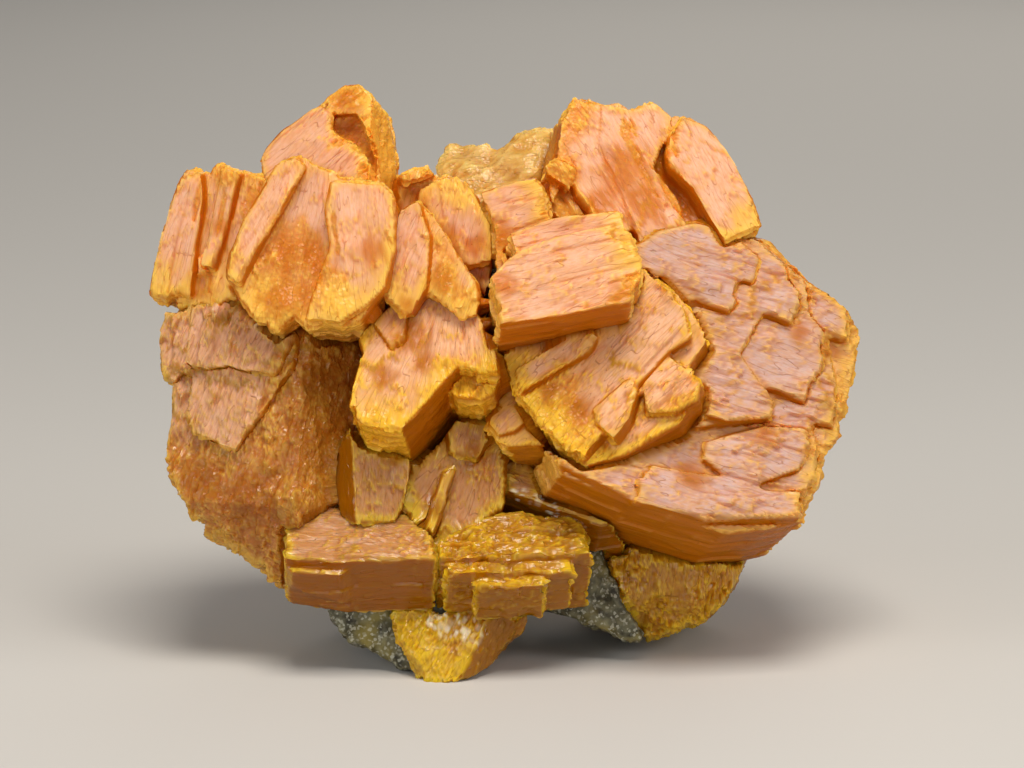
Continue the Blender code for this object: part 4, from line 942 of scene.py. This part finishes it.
def rock_material():
    """Weathered limestone with iron stain and druse: dull grey-green, granular, with tiny painted glints on
    its palest druse crystals.

    Its grains are about 1.1 mm, its stains 4 mm and its druse crystals 0.25 mm.
    """
    material, tree, shader = new_material("limestone_weathered")
    place = node(tree, "TexCoord", {}, "Object")
    lumps = node(tree, "TexNoise", {"Vector": place, "Scale": 1 / (1.1 * MM), "Detail": 6.0}, "Fac")
    stain = node(tree, "TexNoise", {"Vector": place, "Scale": 1 / (4 * MM), "Detail": 3.0}, "Fac")
    light = node(tree, "MapRange", {"Value": lumps, 1: 0.35, 2: 0.7})
    rusty = node(tree, "MapRange", {"Value": stain, 1: 0.52, 2: 0.66, 3: 0.0, 4: 0.7})
    druse = node(tree, "TexVoronoi", {"Vector": place, "Scale": 1 / (0.25 * MM)}, "Color")
    # Painted glints: the palest druse cells turn near white.
    glint = node(tree, "MapRange", {"Value": druse, 1: 0.66, 2: 0.8, 3: 0.0, 4: 0.5})
    color = coated(tree, "2a2614", ((light, "7a7654"), (rusty, "8a7a2c"), (glint, "c9c8b4")))
    dull = node(tree, "MapRange", {"Value": lumps, 1: 0.3, 2: 0.7, 3: 0.7, 4: 0.3})
    bump = node(tree, "Bump", {"Height": lumps, "Strength": 0.9, "Distance": 0.3 * MM})
    fill(tree, shader, {"Base Color": color, "Roughness": dull, "Normal": bump})
    return material


def make_materials():
    # Per look: the peach skin's colour with its painted sheen, the crystal's body colour, yellow for painted
    # edge glow, deep orange for painted shade, how much the skin covers and how glossy it is.
    return {
        "peach": crystal_material("wulfenite_bloom_and_sheen", "e8b290", "d07a06", "efbc4c", "b4540a", 0.98, 0.3),
        "dusty_sheen": crystal_material("wulfenite_dusty_sheen", "ceaa9e", "c87806", "e6b048", "9c4a06", 1.0, 0.3),
        "amber": crystal_material("wulfenite_amber", "e8b48c", "cc7a04", "ecb830", "984402", 0.95, 0.4),
        "honey": crystal_material("wulfenite_honey", "c8946a", "a86400", "d4ac30", "7c3e00", 0.75, 0.8),
        "brown": crystal_material("wulfenite_rough", "dcaa88", "b0660a", "d2a640", "7c3c04", 0.9, 0.8),
        "golden": crystal_material("wulfenite_golden", "d0a050", "a86c00", "d8b022", "6c3600", 0.5, 0.95),
        "cream": crystal_material("wulfenite_frosted", "e8c890", "cf952c", "f2d27c", "9c5c10", 0.9, 0.6),
        "rock": rock_material(),
    }


# Floor, light and camera


def make_stage():
    bm = bmesh.new()
    bmesh.ops.create_grid(bm, x_segments=2, y_segments=2, size=1.5)
    mesh = bpy.data.meshes.new("studio_floor")
    bm.to_mesh(mesh)
    bm.free()
    floor = new_object("studio_floor", mesh)
    material, tree, shader = new_material("studio_floor_matte")
    fill(tree, shader, {"Base Color": linear("cdcac5"), "Roughness": 0.9, "Specular IOR Level": 0.1})
    mesh.materials.append(material)


def area_light(name, place, aim, size, power, color="ffffff"):
    data = bpy.data.lights.new(name, "AREA")
    data.shape = "SQUARE"
    data.size = size
    data.energy = power
    data.color = linear(color)[:3]
    lamp = new_object(name, data)
    lamp.location = place
    lamp.rotation_euler = (Vector(aim) - Vector(place)).to_track_quat("-Z", "Y").to_euler()


def make_light():
    world = bpy.data.worlds.new("studio")
    world.use_nodes = True
    world.node_tree.nodes["Background"].inputs["Color"].default_value = linear("e3e6ea")
    world.node_tree.nodes["Background"].inputs["Strength"].default_value = 0.17
    bpy.context.scene.world = world
    aim = (0.0, 0.0, 0.028)
    area_light("key", (0.03, -0.16, 0.43), aim, 0.2, 1.6, "fff8ee")
    area_light("left_fill", (-0.4, -0.25, 0.2), aim, 0.25, 0.6)
    area_light("right_fill", (0.4, -0.2, 0.22), aim, 0.25, 0.6)
    area_light("front_fill", (-0.05, -0.5, 0.07), aim, 0.3, 0.45)
    area_light("back_fill", (0.1, 0.45, 0.25), aim, 0.3, 0.4, "fff8ee")


def make_camera():
    data = bpy.data.cameras.new("camera")
    data.lens = 200
    data.sensor_width = 36
    camera = new_object("camera", data)
    distance = VIEW * data.lens / data.sensor_width
    aim = Vector((MIDDLE.x * MM, MIDDLE.y * MM, FOOT_HEIGHT * MM))
    away = Vector((0, -math.cos(TIP), math.sin(TIP)))
    camera.location = aim + away * distance
    camera.rotation_euler = (-away).to_track_quat("-Z", "Y").to_euler()
    bpy.context.scene.camera = camera
    bpy.context.scene.view_settings.view_transform = "Standard"


def main():
    whole, parts = bmesh.new(), {}
    for name in CRYSTALS:
        bm = merged_copy(name)
        bmesh.ops.transform(bm, matrix=STAND.inverted(), verts=bm.verts)
        parts[name] = bpy.data.meshes.new("part")
        bm.to_mesh(parts[name])
        bm.free()
        whole.from_mesh(parts[name])
    corners = np.array([v.co for v in whole.verts])
    low = tuple(corners.min(axis=0) - MARGIN)
    high = tuple(corners.max(axis=0) + MARGIN)
    solid = solid_grid(BVHTree.FromBMesh(whole), low, high)
    whole.free()
    soft = (blurred(solid, 0.8), blurred(solid, 2.5))
    materials = make_materials()
    grown = bmesh.new()
    for number, name in enumerate(CRYSTALS):
        earlier = BVHTree.FromBMesh(grown) if grown.verts else None
        piece, look = make_piece(name, number, low, soft, earlier)
        grown.from_mesh(parts[name])
        piece.data.materials.clear()
        piece.data.materials.append(materials[look])
        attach(piece, "root")
        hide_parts(name)
    make_stage()
    make_light()
    make_camera()


main()
